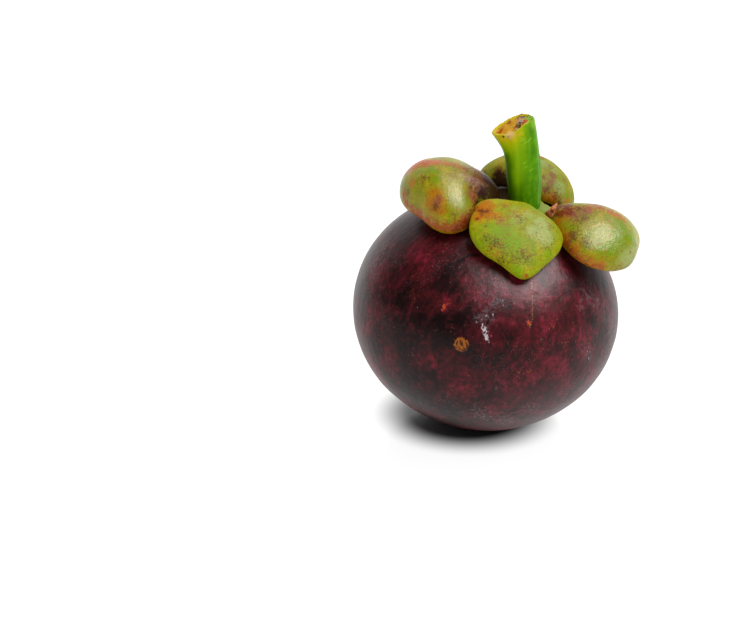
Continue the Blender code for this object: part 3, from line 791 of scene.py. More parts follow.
# %% Stains on the right and the back sepal
SEPAL_STAINS |= {
    "sepal_right": dict(
        ripeness=[(-8, -3, 2, 5.0, 0.4)],
        blush=[
            (-5.4, 0.7, 4.7, 1.8, 0.6), (-3.3, 1.6, 5.3, 1.8, 0.6), (-0.7, 0.9, 5.7, 1.5, 0.7),
            (1.0, 0.6, 5.6, 1.4, 0.7), (2.4, 0.7, 5.3, 1.2, 0.5), (-9.5, -0.5, 2.2, 2.0, 0.8),
        ],
        rim=[
            (-9.4, -6.2, -1.0, 1.1, 0.9), (-8.4, -7.9, -1.2, 1.2, 0.9), (-6.9, -9.5, -1.5, 1.2, 0.9),
            (-5.3, -10.5, -1.6, 1.0, 0.9), (-3.4, -11.2, -1.8, 1.0, 0.6), (-1.6, -11.2, -1.7, 1.0, 0.5),
            (-0.2, -11.0, -1.5, 1.1, 0.5),
        ],
        lime=[
            (-8.2, -5.3, 1.6, 1.3, 0.6), (1.6, -1.6, 5.3, 1.8, 1.0), (2.6, -4.0, 4.6, 2.2, 1.0),
            (2.4, -6.3, 3.6, 2.2, 1.0), (0.7, -8.4, 2.5, 2.0, 0.9), (-1.7, -9.7, 1.7, 2.0, 0.5),
            (5, -3, 3.5, 2.5, 0.8),
        ],
        brown=[
            (-6.8, -3.2, 3.5, 2.2, 0.6), (-7.8, -4.6, 2.3, 1.8, 0.4), (-7.8, -8.6, -1.0, 1.0, 0.7),
            (-7.6, -7.0, 1.0, 1.8, 0.8), (-5.4, -8.4, 1.4, 1.6, 0.6), (5.4, -6.1, 2.0, 0.35, 1.0),
        ],
        amber=[
            (-10.9, -1.8, -0.2, 1.2, 0.9), (-10.0, -4.5, -0.5, 1.2, 0.6), (-9.0, -6.6, -0.4, 1.4, 0.9),
            (-0.5, -11.3, -1.6, 1.8, 0.9), (-4.0, -11.3, -1.8, 1.4, 0.9), (-2.2, -11.2, -1.2, 1.2, 0.9),
            (-6.6, -9.2, -0.4, 1.2, 0.7),
        ],
        rose=[
            # The first rose mark sits on this sepal's highlight and is a faint painted pink highlight.
            (-2.1, -3.5, 5.1, 1.0, 0.3), (-4, 2.5, 5.0, 2.2, 0.7), (-6.3, -0.5, 4.4, 1.8, 0.8),
            (-8.3, -1.8, 3.0, 1.6, 0.8), (-0.6, 1.6, 5.6, 1.2, 0.6),
        ],
        russet=[
            (-10.7, -0.1, 1.3, 1.6, 1.0), (-9.3, -0.3, 2.5, 1.6, 1.0), (-7.6, 0.3, 3.6, 1.5, 0.8),
            (-9.8, 2.0, 2.4, 1.4, 1.2), (-11.2, 2.2, 1.2, 1.4, 1.2), (-8.6, -2.6, 2.4, 1.3, 0.3),
            (-6.6, 1.2, 4.3, 1.2, 0.5),
        ],
        base=[(-12.0, 0.8, -0.4, 1.2, 1.0)],
        speck=[(-7, -3, 3, 4.0, 0.6), (-3, 0, 5.5, 4.0, 0.4), (-4, -9, 1, 4.0, 0.5)],
        pale=[(4.9, -7.4, 1.3, 2.2, 1.1), (5.7, -5.3, 2.2, 1.4, 0.7), (3.6, -8.6, 0.8, 1.6, 0.6)],
    ),
    "sepal_back": dict(
        ripeness=[(2, 4, 5, 6.0, 0.4)],
        blush=[(-3.3, -1.1, 6.6, 0.8, 0.8), (6, 6, 3, 3.0, 0.5), (3, -6, 4, 2.5, 0.4)],
        russet=[
            (-9.4, -3.0, 2.0, 1.0, 0.6), (-9.8, -4.3, -0.6, 1.4, 0.8), (-9.1, -6.7, -1.3, 1.2, 0.7),
            (-8.3, -7.8, -1.9, 1.0, 0.6), (-8.5, 7.0, 0.5, 1.6, 0.7),
        ],
        rim=[],
        lime=[
            (-5.9, -1.8, 5.4, 1.5, 0.5), (-8.0, -6.2, 1.9, 1.6, 0.5), (-6.8, -9.0, -0.3, 1.5, 0.5),
            (-5.1, -9.9, -0.1, 1.2, 0.8), (0, -10, 0, 3.0, 0.7), (4, 0, 6, 3.5, 0.6),
        ],
        brown=[(-7.8, 7.5, 1.0, 1.8, 0.6), (2, 6, 5, 1.6, 0.5)],
        pale=[
            (-6.3, -1.9, 5.2, 2.0, 1.0), (-8.1, -7.0, 0.9, 2.0, 1.1), (-6.2, -4.9, 4.4, 1.8, 0.8),
            (-7.8, -8.4, -1.7, 1.2, 0.7),
        ],
        amber=[(-6.5, -9.5, -1.9, 1.0, 0.9), (-9.3, -5.8, -2.3, 1.6, 0.9), (6, 4, 4, 3.0, 0.5)],
        rose=[
            (-6.2, -3.6, 5.0, 1.2, 0.5), (-7.8, -4.6, 2.8, 1.2, 0.8), (-8.8, -4.6, 1.2, 1.2, 0.8),
            (-5.5, -7.6, 2.9, 1.0, 0.5), (-8.0, -8.0, -2.5, 1.2, 0.5),
        ],
        # Purple-brown at the neck, partly painted shade in the corner by the stem.
        base=[
            (-9.4, 6.2, -1.5, 2.4, 1.4), (-8.9, 7.0, -0.4, 1.6, 1.2), (-9.6, 5.0, -2.5, 2.6, 1.4),
            (-6.0, 10.2, -1.4, 1.3, 1.0), (-10, 3.5, -1, 3.0, 1.3), (-11, -0.5, -2, 2.4, 0.9),
        ],
        speck=[(-8, -5, 2, 3.0, 0.3), (2, 2, 6, 5.0, 0.5), (5, -5, 3, 4.0, 0.5)],
    ),
}

# %% The sepals' materials
SEPAL_GROUND = {
    "noises": [(3.0, 0.5, 0), (0.6, 0.5, 0)],
    "tones": [(0.38, "#6A8400"), (0.50, "#868C04"), (0.62, "#AC9C12")],
}
SEPAL_LAYERS = [
    Layer("lime", "#6C8E00", 1.5, 0.5, 0.05, 0.90, 0.24, soft=0.8),
    # Pale skin; on the front sepal it is a painted highlight.
    Layer("pale", "#98AA5C", 1.2, 0.5, 0.10, 0.80, 0.30, soft=0.8),
    Layer("amber", "#B0740A", 0.7, 1.4, 0.05, 0.95, 0.26, soft=0.6),
    Layer("blush", "#B45006", 0.5, 2.0, 0.05, 0.95, 0.34, soft=0.7),
    Layer("rose", "#8A5038", 0.5, 1.8, 0.10, 0.90, 0.28, soft=0.7),
    Layer("spot", "#A06024", 0.5, 2.4, 0.25, 0.60, 0.30, soft=0.8),
    Layer("rim", "#A04002", 0.5, 2.2, 0.00, 0.92, 0.45, soft=0.8),
    Layer("speck", "#54300A", 0.33, 4.5, 0.85, 0.78, 0.36, soft=0.7),
    Layer("vein", "#4E2A14", 1.2, 9.0, 0.50, 0.80, 0.34, soft=0.5, lines=1),
    Layer("russet", "#682608", 0.6, 2.2, 0.10, 0.95, 0.26, soft=0.8),
    Layer("brown", "#5A2408", 0.45, 2.4, 0.20, 0.90, 0.40, soft=0.7),
    # Purple-brown where the sepals leave the stem, partly painted shade in the corners there.
    Layer("base", "#2A0806", 1.0, 1.8, 0.10, 0.96, 0.28, soft=0.9),
    Layer("inside", "#3E3010", 1.0, 0.4, 0.50, 1.00, 0.55),
    Layer("lip", "#A89040", 0.5, 0.5, 0.60, 0.70, 0.45),
]
WAXY_BUMPS = [(1.0, 0.08), (0.42, 0.10)]
waxy_skin = plant_skin("waxy_sepal_skin", SEPAL_GROUND, (0.25, 0.33), SEPAL_LAYERS, WAXY_BUMPS, 0.36)

# %% [markdown]
# Worn skin has the same stains. Where the wax is gone, less white gloss lies over the colours, so those
# of the front sepal are a little brighter and purer. Its pale patch is a painted highlight, and the only
# part still smooth enough for a little real gloss. On the matt skin, only the dark stain round the stem,
# which is partly painted shade, keeps some gloss.

# %% The same skin, worn dull and matt
DULL_GROUND = SEPAL_GROUND | {"tones": [(0.38, "#749400"), (0.50, "#8E9C04"), (0.62, "#B6AE14")]}
DULL_COLOURS = {
    "lime": "#78A000", "pale": "#AEBE70", "amber": "#BE700A", "blush": "#C65A08", "rose": "#A0643C",
    "speck": "#5C340A",
}
DULL_BUMPS = [(0.8, 0.16), (0.35, 0.13)]
MATT_BUMPS = [(0.8, 0.10), (0.35, 0.04)]
LEAST_DULL_ROUGHNESS = 0.48
PALE_ROUGHNESS = 0.3
MATT_ROUGHNESS = 0.60
MATT_BASE_ROUGHNESS = 0.34


def dulled(layer):
    """A layer of stains as it looks on the front sepal."""
    rough = PALE_ROUGHNESS if layer.where == "pale" else max(layer.rough, LEAST_DULL_ROUGHNESS)
    return layer._replace(colour=DULL_COLOURS.get(layer.where, layer.colour), rough=rough)


def matted(layer):
    """A layer of stains as it looks on the back sepal and the cushion."""
    return layer._replace(rough=MATT_BASE_ROUGHNESS if layer.where == "base" else MATT_ROUGHNESS)


dull_layers = [dulled(layer) for layer in SEPAL_LAYERS]
matt_layers = [matted(layer) for layer in SEPAL_LAYERS]
dull_skin = plant_skin("dull_sepal_skin", DULL_GROUND, (0.40, 0.48), dull_layers, DULL_BUMPS, 0.12)
matt_skin = plant_skin("matt_sepal_skin", SEPAL_GROUND, (0.50, 0.60), matt_layers, MATT_BUMPS, 0.15)
print("sepal skins:", waxy_skin.name, dull_skin.name, matt_skin.name)

# %% The sepals' pieces
RIPENESS_SHIFT = 0.07
FINISHES = {"sepal_front": dull_skin, "sepal_back": matt_skin}
RIM_BLUSH = {"sepal_left": 0.5, "sepal_front": 0.1, "sepal_right": 0.35, "sepal_back": 0.2}

for name, shape in SEPALS.items():
    piece, points, rim, outside = build_sepal(name, shape, FINISHES.get(name, waxy_skin))
    stains = {
        kind: near(points, [(spot[:3], spot[3], spot[4]) for spot in spots])
        for kind, spots in SEPAL_STAINS[name].items()
    }
    stains["ripeness"] *= RIPENESS_SHIFT
    rim_blush = RIM_BLUSH[name] * rim * (0.7 + ripple(points, 6.0))
    stains["rim"] = np.maximum(stains["rim"], rim_blush) * outside
    stains["speck"] += 0.30 + 0.5 * ripple(points, 2.5)
    mark(piece, inside=1 - outside, lip=np.exp(-(((outside - 0.6) / 0.25) ** 2)), **stains)

# %% [markdown]
# ## The stem
#
# The stem is the end of a twig: green bark round a pale woody core, 7.6 mm thick. It swells at its
# foot, where the sepals join it, and flares towards the top, where it was snapped off aslant. The
# rings turn from the slope of the rind to level, and then to the slope of the break.

# %% The stem's form
STEM_LOWER_RADIUS = 3.4
STEM_UPPER_RADIUS = 3.8
STEM_BASE_SHIFT = 0.9
STEM_TOP_SHIFT = -1.5
STEM_BEND_POWER = 2.2
STEM_HEIGHT = 19.9
FOOT_RADIUS = 5.2
FOOT_HEIGHT = 2.2
FOOT_FILLET = 1.0
FOOT_EDGE = 0.35
GAP = 0.3
END_SLOPE = math.radians(26)
END_SHOULDER = 1.2
END_SHOULDER_START = 0.3
END_FLARE = 1.3
END_FLARE_HEIGHT = 6.5
END_FLARE_POWER = 1.6
END_FLARE_FRONT_SHARE = 0.12
NOTCH_DEPTH = 0.9
NOTCH_MIDDLE = -1.0
NOTCH_WIDTH = 2.6
NOTCH_FROM, NOTCH_OVER = -0.5, 3.5
STEM_SIDES = 120
STEM_LEVELS = 110
STEM_FOOT = np.array((0.0, 0.0, float(rind_radius(0.0, 0.0))))


def stem_centre(share):
    """A point of the stem's middle line, which stands upright and then bends to the -X side."""
    height = share * STEM_HEIGHT
    shift = STEM_BASE_SHIFT * smooth_step(height / FOOT_HEIGHT)
    shift += (STEM_TOP_SHIFT - STEM_BASE_SHIFT) * share ** STEM_BEND_POWER
    return placed(STEM_FOOT) + np.array((float(shift), 0.0, height))


def stem_radius(share, turn):
    """Radius of the stem, with its spreading foot and its flared end."""
    radius = STEM_LOWER_RADIUS + (STEM_UPPER_RADIUS - STEM_LOWER_RADIUS) * smooth_step(2 * share)
    radius += (FOOT_RADIUS - STEM_LOWER_RADIUS) * math.exp(-share * STEM_HEIGHT / FOOT_FILLET)
    rise = max(0.0, 1.0 - (1.0 - share) * STEM_HEIGHT / END_FLARE_HEIGHT)
    side = (0.5 - 0.5 * np.cos(turn)) ** 2
    share_round = END_FLARE_FRONT_SHARE + (1.0 - END_FLARE_FRONT_SHARE) * side
    return radius + END_FLARE * rise ** END_FLARE_POWER * share_round


def end_height(across):
    """Height of the broken end above its middle: a slope up to +X that rounds over."""
    past_shoulder = across / STEM_UPPER_RADIUS - END_SHOULDER_START
    return across * math.tan(END_SLOPE) - END_SHOULDER * smooth_step(past_shoulder)


def stem_ring(share, radius):
    """A ring of the shaft, from the rind's slope at the foot to the slope of the break."""
    axis = np.array(FRUIT_FRAME.to_3x3() @ Vector((0.0, 0.0, 1.0)))
    level = float(smooth_step(share * STEM_HEIGHT / (2 * FOOT_HEIGHT)))
    normal = axis * (1 - level) + np.array((0.0, 0.0, 1.0)) * level
    x, y = np.cos(stem_turns) * radius, np.sin(stem_turns) * radius
    notch = NOTCH_DEPTH * np.exp(-(((x - NOTCH_MIDDLE) / NOTCH_WIDTH) ** 2))
    notch = notch * smooth_step((NOTCH_FROM - y) / NOTCH_OVER)
    z = -(x * normal[0] + y * normal[1]) / normal[2]
    z += end_height(x) * smooth_step(2 * share - 1) - notch * smooth_step(5 * share - 4)
    return stem_centre(share) + np.stack([x, y, z], -1)


# %% [markdown]
# Two kinds of relief make it a twig: low lengthwise ribs with short cross wrinkles on the bark, and
# a torn end, with a bark edge that stands up and a core that is pitted and splintered. The front of
# that edge is 0.9 mm lower, where a strip of bark came off with the branch.

# %% Build the stem
stem_turns = np.linspace(0, 2 * math.pi, STEM_SIDES, endpoint=False)
WRINKLES = [
    (17.2, -1.5, 1.0), (16.9, -1.3, 0.8), (16.1, -1.35, 0.9), (16.5, -1.0, 0.9), (12.0, -1.55, 0.9),
    (11.0, -1.45, 0.7), (10.3, -1.15, 1.0), (6.0, -0.8, 0.6), (7.9, -0.9, 0.6), (13.6, -0.5, 0.8),
    (15.2, -0.4, 0.9), (9.0, -2.4, 0.4), (14.6, -2.6, 0.5), (11.5, 1.2, 0.8), (8.0, 2.0, 0.7),
    (14.0, 1.8, 0.9), (6.5, 2.8, 0.7), (4.2, -1.2, 0.4), (4.8, 0.6, 0.5), (16.2, 0.4, 0.9),
    (12.6, 0.1, 0.7), (9.6, 0.9, 0.8),
]
WRINKLE_SLANT = 0.45
WRINKLE_WIDTH = 0.24
WRINKLE_REACH = 0.8
WRINKLE_HEIGHT = 0.15


def facing(turn, toward, spread):
    """1 where an angle round the stem points one way, and less to either side."""
    away = np.remainder(turn - toward + math.pi, 2 * math.pi) - math.pi
    return np.exp(-((away / spread) ** 2))


def bark_ribs(height):
    """Low ribs along the bark, in millimetres."""
    coarse = 0.05 * np.cos(9 * stem_turns + 1.2 * math.sin(height / 4))
    return coarse + 0.03 * np.cos(17 * stem_turns - height / 3)


def bark_wrinkles(height, radius):
    """Short wrinkles across the bark, 1 on each one's crest."""
    crests = 0.0 * stem_turns
    for level, turn, strength in WRINKLES:
        away = np.remainder(stem_turns - turn + math.pi, 2 * math.pi) - math.pi
        across = away * radius / WRINKLE_REACH
        along_bark = (height - (level + WRINKLE_SLANT * away * radius)) / WRINKLE_WIDTH
        crests += strength * np.exp(-(along_bark ** 2) - across ** 2)
    return crests


def foot_ring(share, lift):
    """A ring under the stem's swollen foot, just above the rind that it grew from."""
    polar = share * FOOT_RADIUS / BODY_HALF_HEIGHT
    radius = rind_radius(polar, stem_turns) + GAP + lift
    return placed(direction(polar, stem_turns) * radius[..., None])


SHAFT_START = 0.03
SMOOTH_FOOT_SHARE = 0.15
stem_rings = [foot_ring(share, 0.0) for share in (0.3, 0.6, 0.85, 0.97)]
stem_rings += [foot_ring(1.0, lift) for lift in (0.12, 0.3)]
wrinkle_rows = [0.0 * stem_turns for ring in stem_rings]
for level in range(1, STEM_LEVELS + 1):
    share = SHAFT_START + (1.0 - SHAFT_START) * level / STEM_LEVELS
    height = share * STEM_HEIGHT
    radius = stem_radius(share, stem_turns)
    fade = float(smooth_step(share / SMOOTH_FOOT_SHARE))
    wrinkle_rows.append(fade * bark_wrinkles(height, radius))
    radius = radius + fade * bark_ribs(height) + WRINKLE_HEIGHT * wrinkle_rows[-1]
    stem_rings.append(stem_ring(share, radius))
bark_rows = len(stem_rings)

END_INSETS = [0.985, 0.95, 0.9, 0.84, 0.78, 0.71, 0.63, 0.55, 0.46, 0.37, 0.28, 0.19, 0.1]
END_PROFILE = [0.14, 0.22, 0.1, -0.12, -0.25, -0.22, -0.05, 0.12, 0.2, 0.12, 0.0, -0.1, -0.15]
SPLINTERS, SPLINTER_SIZE = 0.55, 1.1
CRUMBS, CRUMB_SIZE = 0.3, 0.5
for inset, lift in zip(END_INSETS, END_PROFILE):
    ring = stem_ring(1.0, stem_radius(1.0, stem_turns) * inset)
    torn = SPLINTERS * ripple(ring, SPLINTER_SIZE, 3) + CRUMBS * ripple(ring, CRUMB_SIZE)
    ring[:, 2] += lift + torn * (1 - inset ** 6)
    stem_rings.append(ring)
stem_body = skin(stem_rings, placed(STEM_FOOT + (0.0, 0.0, GAP)), stem_centre(1.0) - (0.0, 0.0, 0.2))

# %% [markdown]
# ### Young bark and a torn core
#
# Green bark is smooth and a little glossy, and yellow-green towards the wound. Painted light and shade
# lie over it as well: a lighter yellow-green on the front-left and a weaker one up the back, a darker
# green down the left edge and near the foot, and pale green highlights on the crests of the cross
# wrinkles. The torn end dries to a yellow, corky brown with crumbs of pith and a drop of orange latex.
# The height up the stem, the angle round it and the distance in from the bark are all known for each
# point, so the colours follow the shape.

# %% The stem's material
STEM_GROUND = {
    "noises": [(2.5, 0.5, 0), (0.8, 0.5, 1)],
    "tones": [(0.38, "#427A00"), (0.50, "#528E00"), (0.62, "#66A004")],
}
STEM_LAYERS = [
    # Painted light: lighter yellow-green where the bark faces the front-left, weaker up the back.
    Layer("sunny", "#84B200", 1.0, 0.3, 0.00, 1.00, 0.36, soft=1.0),
    Layer("golden", "#B8BE00", 1.0, 0.3, 0.00, 1.00, 0.38, soft=1.0),
    # Painted shade: darker green down the left edge and near the foot.
    Layer("shady", "#3E6600", 1.5, 0.4, 0.10, 0.85, 0.40, soft=0.8),
    Layer("wound", "#CCB41C", 0.8, 1.2, 0.25, 0.95, 0.50, soft=0.7),
    Layer("core", "#C89024", 0.7, 1.4, 0.35, 0.90, 0.70, soft=0.6),
    Layer("lip", "#76A81C", 0.8, 0.6, 0.20, 0.95, 0.45, soft=0.6),
    Layer("lens", "#D8B470", 0.8, 0.5, 0.30, 1.00, 0.60, soft=0.5),
    Layer("crumb", "#B09A90", 0.5, 3.0, 0.50, 0.90, 0.80, soft=0.5),
    Layer("cork", "#482410", 0.45, 3.0, 0.50, 0.90, 0.80, soft=0.5),
    Layer("latex", "#B24A08", 0.5, 0.8, 0.30, 0.95, 0.40, soft=0.4),
    # Painted highlights: pale green on the crests of the cross wrinkles.
    Layer("wrinkle", "#A4CC40", 0.4, 1.2, 0.35, 0.60, 0.40, soft=0.7),
]
BARK_BUMPS = [(0.8, 0.05), (0.3, 0.015)]
bark = plant_skin("young_green_bark", STEM_GROUND, (0.32, 0.44), STEM_LAYERS, BARK_BUMPS, 0.09)

# %% The stem's piece
BARK_STRETCH = np.array((1.0, 1.0, 0.35))
SHAFT_SHIFT = 0.5
stem_points = np.asarray(stem_body[0])
stem = add_piece("stem_bark", stem_body, bark, "stem", stem_points * BARK_STRETCH)

ring_insets = [1.0] * bark_rows + list(END_INSETS)
inset = np.append(np.repeat(ring_insets, STEM_SIDES), (1.0, 0.0))
on_end = (inset < 1.0).astype(float)
from_foot = stem_points - placed(STEM_FOOT)
rise = from_foot[:, 2] / STEM_HEIGHT
turn = np.arctan2(from_foot[:, 1], from_foot[:, 0] - SHAFT_SHIFT)
tip = stem_centre(1.0)


def by_tip(*spots):
    """Bells round places given from the middle of the broken end."""
    return near(stem_points, [(tip + spot[:3], spot[3], spot[4]) for spot in spots])


# Painted highlights on the wrinkle crests.
wrinkle = np.append(np.concatenate(wrinkle_rows), np.zeros(len(stem_points) - bark_rows * STEM_SIDES))
# Painted light on the front-left and up the back; painted shade down the left edge and near the foot.
painted_light_side = facing(turn, -2.2, 0.7) * smooth_step((rise - 0.05) / 0.5)
painted_shade_side = facing(turn, -2.8, 0.62) * smooth_step((0.85 - rise) / 0.3)
mark(
    stem,
    wrinkle=wrinkle,
    sunny=painted_light_side + 0.5 * facing(turn, 1.6, 0.9) * rise,
    golden=facing(turn, -2.4, 0.6) * smooth_step((rise - 0.60) / 0.32),
    shady=painted_shade_side + 0.25 * smooth_step((0.2 - rise) / 0.2),
    wound=np.maximum(on_end, by_tip(
        (-4.5, -1.3, -2.2, 1.6, 1.0), (-3.0, -3.2, -2.4, 1.6, 1.0), (-1.2, -4.0, -2.0, 1.6, 1.0),
        (0.6, -4.2, -1.4, 1.2, 0.8),
    )),
    core=on_end * smooth_step((0.88 - inset) / 0.12),
    lip=by_tip((3.4, 0.4, 1.0, 1.9, 1.2), (3.2, -1.6, 0.6, 1.6, 1.1)),
    lens=by_tip((-1.5, -3.5, -1.4, 1.2, 1.3)),
    crumb=by_tip((1.2, -1.2, 0.2, 1.5, 1.2), (1.6, 1.2, 0.5, 1.5, 1.1), (0.2, -3.0, -0.8, 0.8, 0.9)),
    cork=by_tip(
        (0.6, -2.0, 0.0, 1.4, 1.2), (1.5, 1.9, 0.4, 1.5, 1.2), (-1.4, 1.9, -0.6, 0.9, 1.0),
        (-2.8, -3.4, -2.1, 0.5, 1.2), (-1.9, -4.4, -2.2, 0.5, 1.1), (1.1, -3.9, -1.8, 0.4, 0.8),
    ),
    latex=by_tip((-3.3, -0.8, -1.9, 1.0, 1.3), (-1.1, 1.6, -0.6, 0.6, 0.8), (2.0, -1.4, 0.5, 0.7, 1.1)),
)

# %% [markdown]
# ## The calyx cushion
#
# Where stem and sepals meet, the real fruit has a fleshy pad that fills the corner between them.
# It is one low ring here, thickest against the stem and in the corner at the left sepal, that dips
# under the necks of the sepals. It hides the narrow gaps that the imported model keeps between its
# pieces.

# %% Build the cushion
CUSHION_SIDES = 120
CUSHION_START = 2.0
CUSHION_REACH = 8.6
CUSHION_HEIGHT = 2.3
CUSHION_LIFT = 0.05
CUSHION_GRAIN, CUSHION_GRAIN_SIZE = 0.12, 2.0
cushion_turns = np.linspace(0, 2 * math.pi, CUSHION_SIDES, endpoint=False)


def cushion_ring(reach, lift):
    """A ring of the pad at a distance from the calyx axis and a height above the rind."""
    polar = reach / BODY_HALF_HEIGHT
    return direction(polar, cushion_turns) * (rind_radius(polar, cushion_turns) + lift)[..., None]


lumps = 1.0 + 0.16 * np.cos(4 * cushion_turns + 0.6) + 0.1 * np.cos(7 * cushion_turns)
lumps += 0.6 * facing(cushion_turns, 2.95, 0.45)
cushion_rings = []
for step in np.linspace(0.0, 1.0, 26):
    reach = CUSHION_START + (CUSHION_REACH - CUSHION_START) * step
    dome = CUSHION_HEIGHT * (1 - step ** 3) * lumps
    cushion_rings.append(cushion_ring(reach, CUSHION_LIFT + dome))
cushion_rings += [cushion_ring(reach, 0.02) for reach in np.linspace(CUSHION_REACH, CUSHION_START, 8)]
cushion_rings = np.asarray(cushion_rings)
cushion_grain = CUSHION_GRAIN * ripple(cushion_rings, CUSHION_GRAIN_SIZE)
cushion_rings += cushion_grain[..., None] * direction(0.0, cushion_turns)
cushion_ends = [STEM_FOOT + (0.0, 0.0, CUSHION_HEIGHT), STEM_FOOT + (0.0, 0.0, 0.02)]
cushion_points, cushion_faces = skin(cushion_rings, *cushion_ends)
cushion = add_piece("calyx_cushion", (placed(cushion_points), cushion_faces), matt_skin)
turn = np.arctan2(cushion_points[:, 1], cushion_points[:, 0])
# Painted shade: the dark stain covers the pad's -X half, away from the soft box.
mark(
    cushion,
    lime=0.9 * facing(turn, -0.3, 0.9),
    pale=0.6 * facing(turn, -0.2, 0.5),
    blush=0.8 * np.maximum(facing(turn, 1.5, 0.5), facing(turn, -1.5, 0.5)),
    base=np.clip(-1.4 * np.cos(turn), 0, 1),
)

# %% [markdown]
# A dried scrap of a bract still clings between the cushion and the right sepal, curled and brittle,
# orange at its edge and dark red in its hollow. It is a strip of small oval rings that narrow to a
# tip, bent into a cup, with the same kind of skin in its own colours. Its foot sits in the sepal's
# neck, and its tip stands free.

# %% The dried scrap
SCRAP_SIDES = 20
SCRAP_LENGTH = 20
SCRAP_FOOT = np.array((11.9, -6.1, 49.3))
SCRAP_REACH = np.array((1.5, 1.2, 3.4))
SCRAP_BOW = np.array((-0.5, -0.7, 0.2))
SCRAP_WIDTH = 1.15
SCRAP_THICKNESS = 0.16
SCRAP_CUP = 0.55
SCRAP_SLANT = (0.9, -0.4)
scrap_turns = np.linspace(0, 2 * math.pi, SCRAP_SIDES, endpoint=False)
scrap_rings = []
for share in np.linspace(0.02, 0.98, SCRAP_LENGTH):
    width = SCRAP_WIDTH * (1 - share ** 2) * (1 + 0.15 * math.sin(9 * share))
    across = width * np.cos(scrap_turns)
    out = SCRAP_THICKNESS * np.sin(scrap_turns) - SCRAP_CUP * across ** 2
    middle = SCRAP_FOOT + SCRAP_REACH * share + SCRAP_BOW * math.sin(math.pi * share)
    scrap_rings.append(middle + np.stack([SCRAP_SLANT[0] * across, -out, SCRAP_SLANT[1] * across], -1))
scrap_body = skin(scrap_rings, SCRAP_FOOT, SCRAP_FOOT + SCRAP_REACH)
SCRAP_GROUND = {
    "noises": [(0.8, 0.5, 0), (0.3, 0.5, 0)],
    "tones": [(0.38, "#8E3E14"), (0.50, "#C06C34"), (0.62, "#DCA474")],
}
SCRAP_LAYERS = [Layer("hollow", "#4A0E06", 0.4, 0.8, 0.30, 0.95, 0.60, soft=0.5)]
SCRAP_BUMPS = [(0.5, 0.08), (0.2, 0.03)]
dry_bract = plant_skin("dry_bract", SCRAP_GROUND, (0.50, 0.70), SCRAP_LAYERS, SCRAP_BUMPS, 0.2)
scrap = add_piece("calyx_scrap", scrap_body, dry_bract)
scrap_middle = SCRAP_FOOT + SCRAP_REACH * 0.5 + SCRAP_BOW
mark(scrap, hollow=near(scrap_body[0], [(scrap_middle, 0.6, 1.0)]))

# %% [markdown]
# ## The stigma
#
# Under the fruit sits what is left of the flower's stigma: a flat, woody rosette whose lobes match
# the segments inside. Each lobe is a low pad with a groove on either side.

# %% Build the stigma
STIGMA_LOBES = 7
STIGMA_RADIUS = 4.8
STIGMA_THICKNESS = 0.7
STIGMA_NOTCH = 0.28
STIGMA_ROUNDNESS = 0.6
STIGMA_CLEARANCE = 0.05
STIGMA_SIDES = 168
stigma_turns = np.linspace(0, 2 * math.pi, STIGMA_SIDES, endpoint=False)
lobe_wave = np.abs(np.cos(STIGMA_LOBES * stigma_turns / 2)) ** STIGMA_ROUNDNESS


def stigma_ring(share, lift):
    """A ring of the rosette, at a height above the floor of its dimple."""
    reach = share * STIGMA_RADIUS * (1.0 - STIGMA_NOTCH + STIGMA_NOTCH * lobe_wave)
    polar = math.pi - reach / BODY_HALF_HEIGHT
    radius = rind_radius(polar, stigma_turns, dimple=False) - DIMPLE_DEPTH + lift
    ring = placed(direction(polar, stigma_turns) * radius[..., None])
    ring[:, 2] = np.maximum(ring[:, 2], STIGMA_CLEARANCE)
    return ring


stigma_rings = [stigma_ring(share, GAP) for share in (0.4, 0.9)]
stigma_rings += [stigma_ring(1.0, GAP + STIGMA_THICKNESS * share) for share in (0.2, 0.5, 0.75)]
for share in np.linspace(0.97, 0.06, 20):
    groove = 0.35 * (1 - lobe_wave) * math.sin(math.pi * share)
    stigma_rings.append(stigma_ring(share, GAP + STIGMA_THICKNESS * (0.9 - groove) - 0.18 * (1 - share)))
floor_point = placed(np.array((0, 0, -float(rind_radius(math.pi, 0.0)) - GAP)))
top_point = placed(np.array((0, 0, -float(rind_radius(math.pi, 0.0)) - GAP - 0.7 * STIGMA_THICKNESS)))
STIGMA_GROUND = {
    "noises": [(1.6, 0.5, 0), (0.5, 0.5, 0)],
    "tones": [(0.38, "#2E1A10"), (0.50, "#4A2E1C"), (0.62, "#6E4A30")],
}
STIGMA_BUMPS = [(0.8, 0.15), (0.3, 0.05)]
dry_stigma = plant_skin("dried_stigma", STIGMA_GROUND, (0.65, 0.85), [], STIGMA_BUMPS)
stigma_body = skin(stigma_rings, floor_point, top_point)
add_piece("stigma_rosette_dry", stigma_body, dry_stigma, "stigma_rosette")

# %% [markdown]
# ## The studio
#
# Small things are often shot on a light table: a sheet of opal acrylic, lit from below, so bright that it
# runs into the white behind it and no cast shadow shows. Here the sheet's glow is set by its distance
# from a point just left of where the fruit rests, and it fades to nothing close to that point, so the
# dark under the fruit is mostly a painted contact shadow that leans away from the soft box; the sheet's
# own faint real shade adds to it. Its slight gloss mirrors the fruit faintly.

# %% Floor
FLOOR_SIZE = 4.0
SHEET_GLOW = 0.93
# The painted contact shadow: a disc round a point 5.2 mm left of the rest spot, dark inside 12.2 mm and
# gone by 23.2 mm.
SHADOW_MIDDLE = (-5.2 * MM, 0.6 * MM, 0.0)
SHADOW_INNER = 12.2 * MM
SHADOW_OUTER = 23.2 * MM

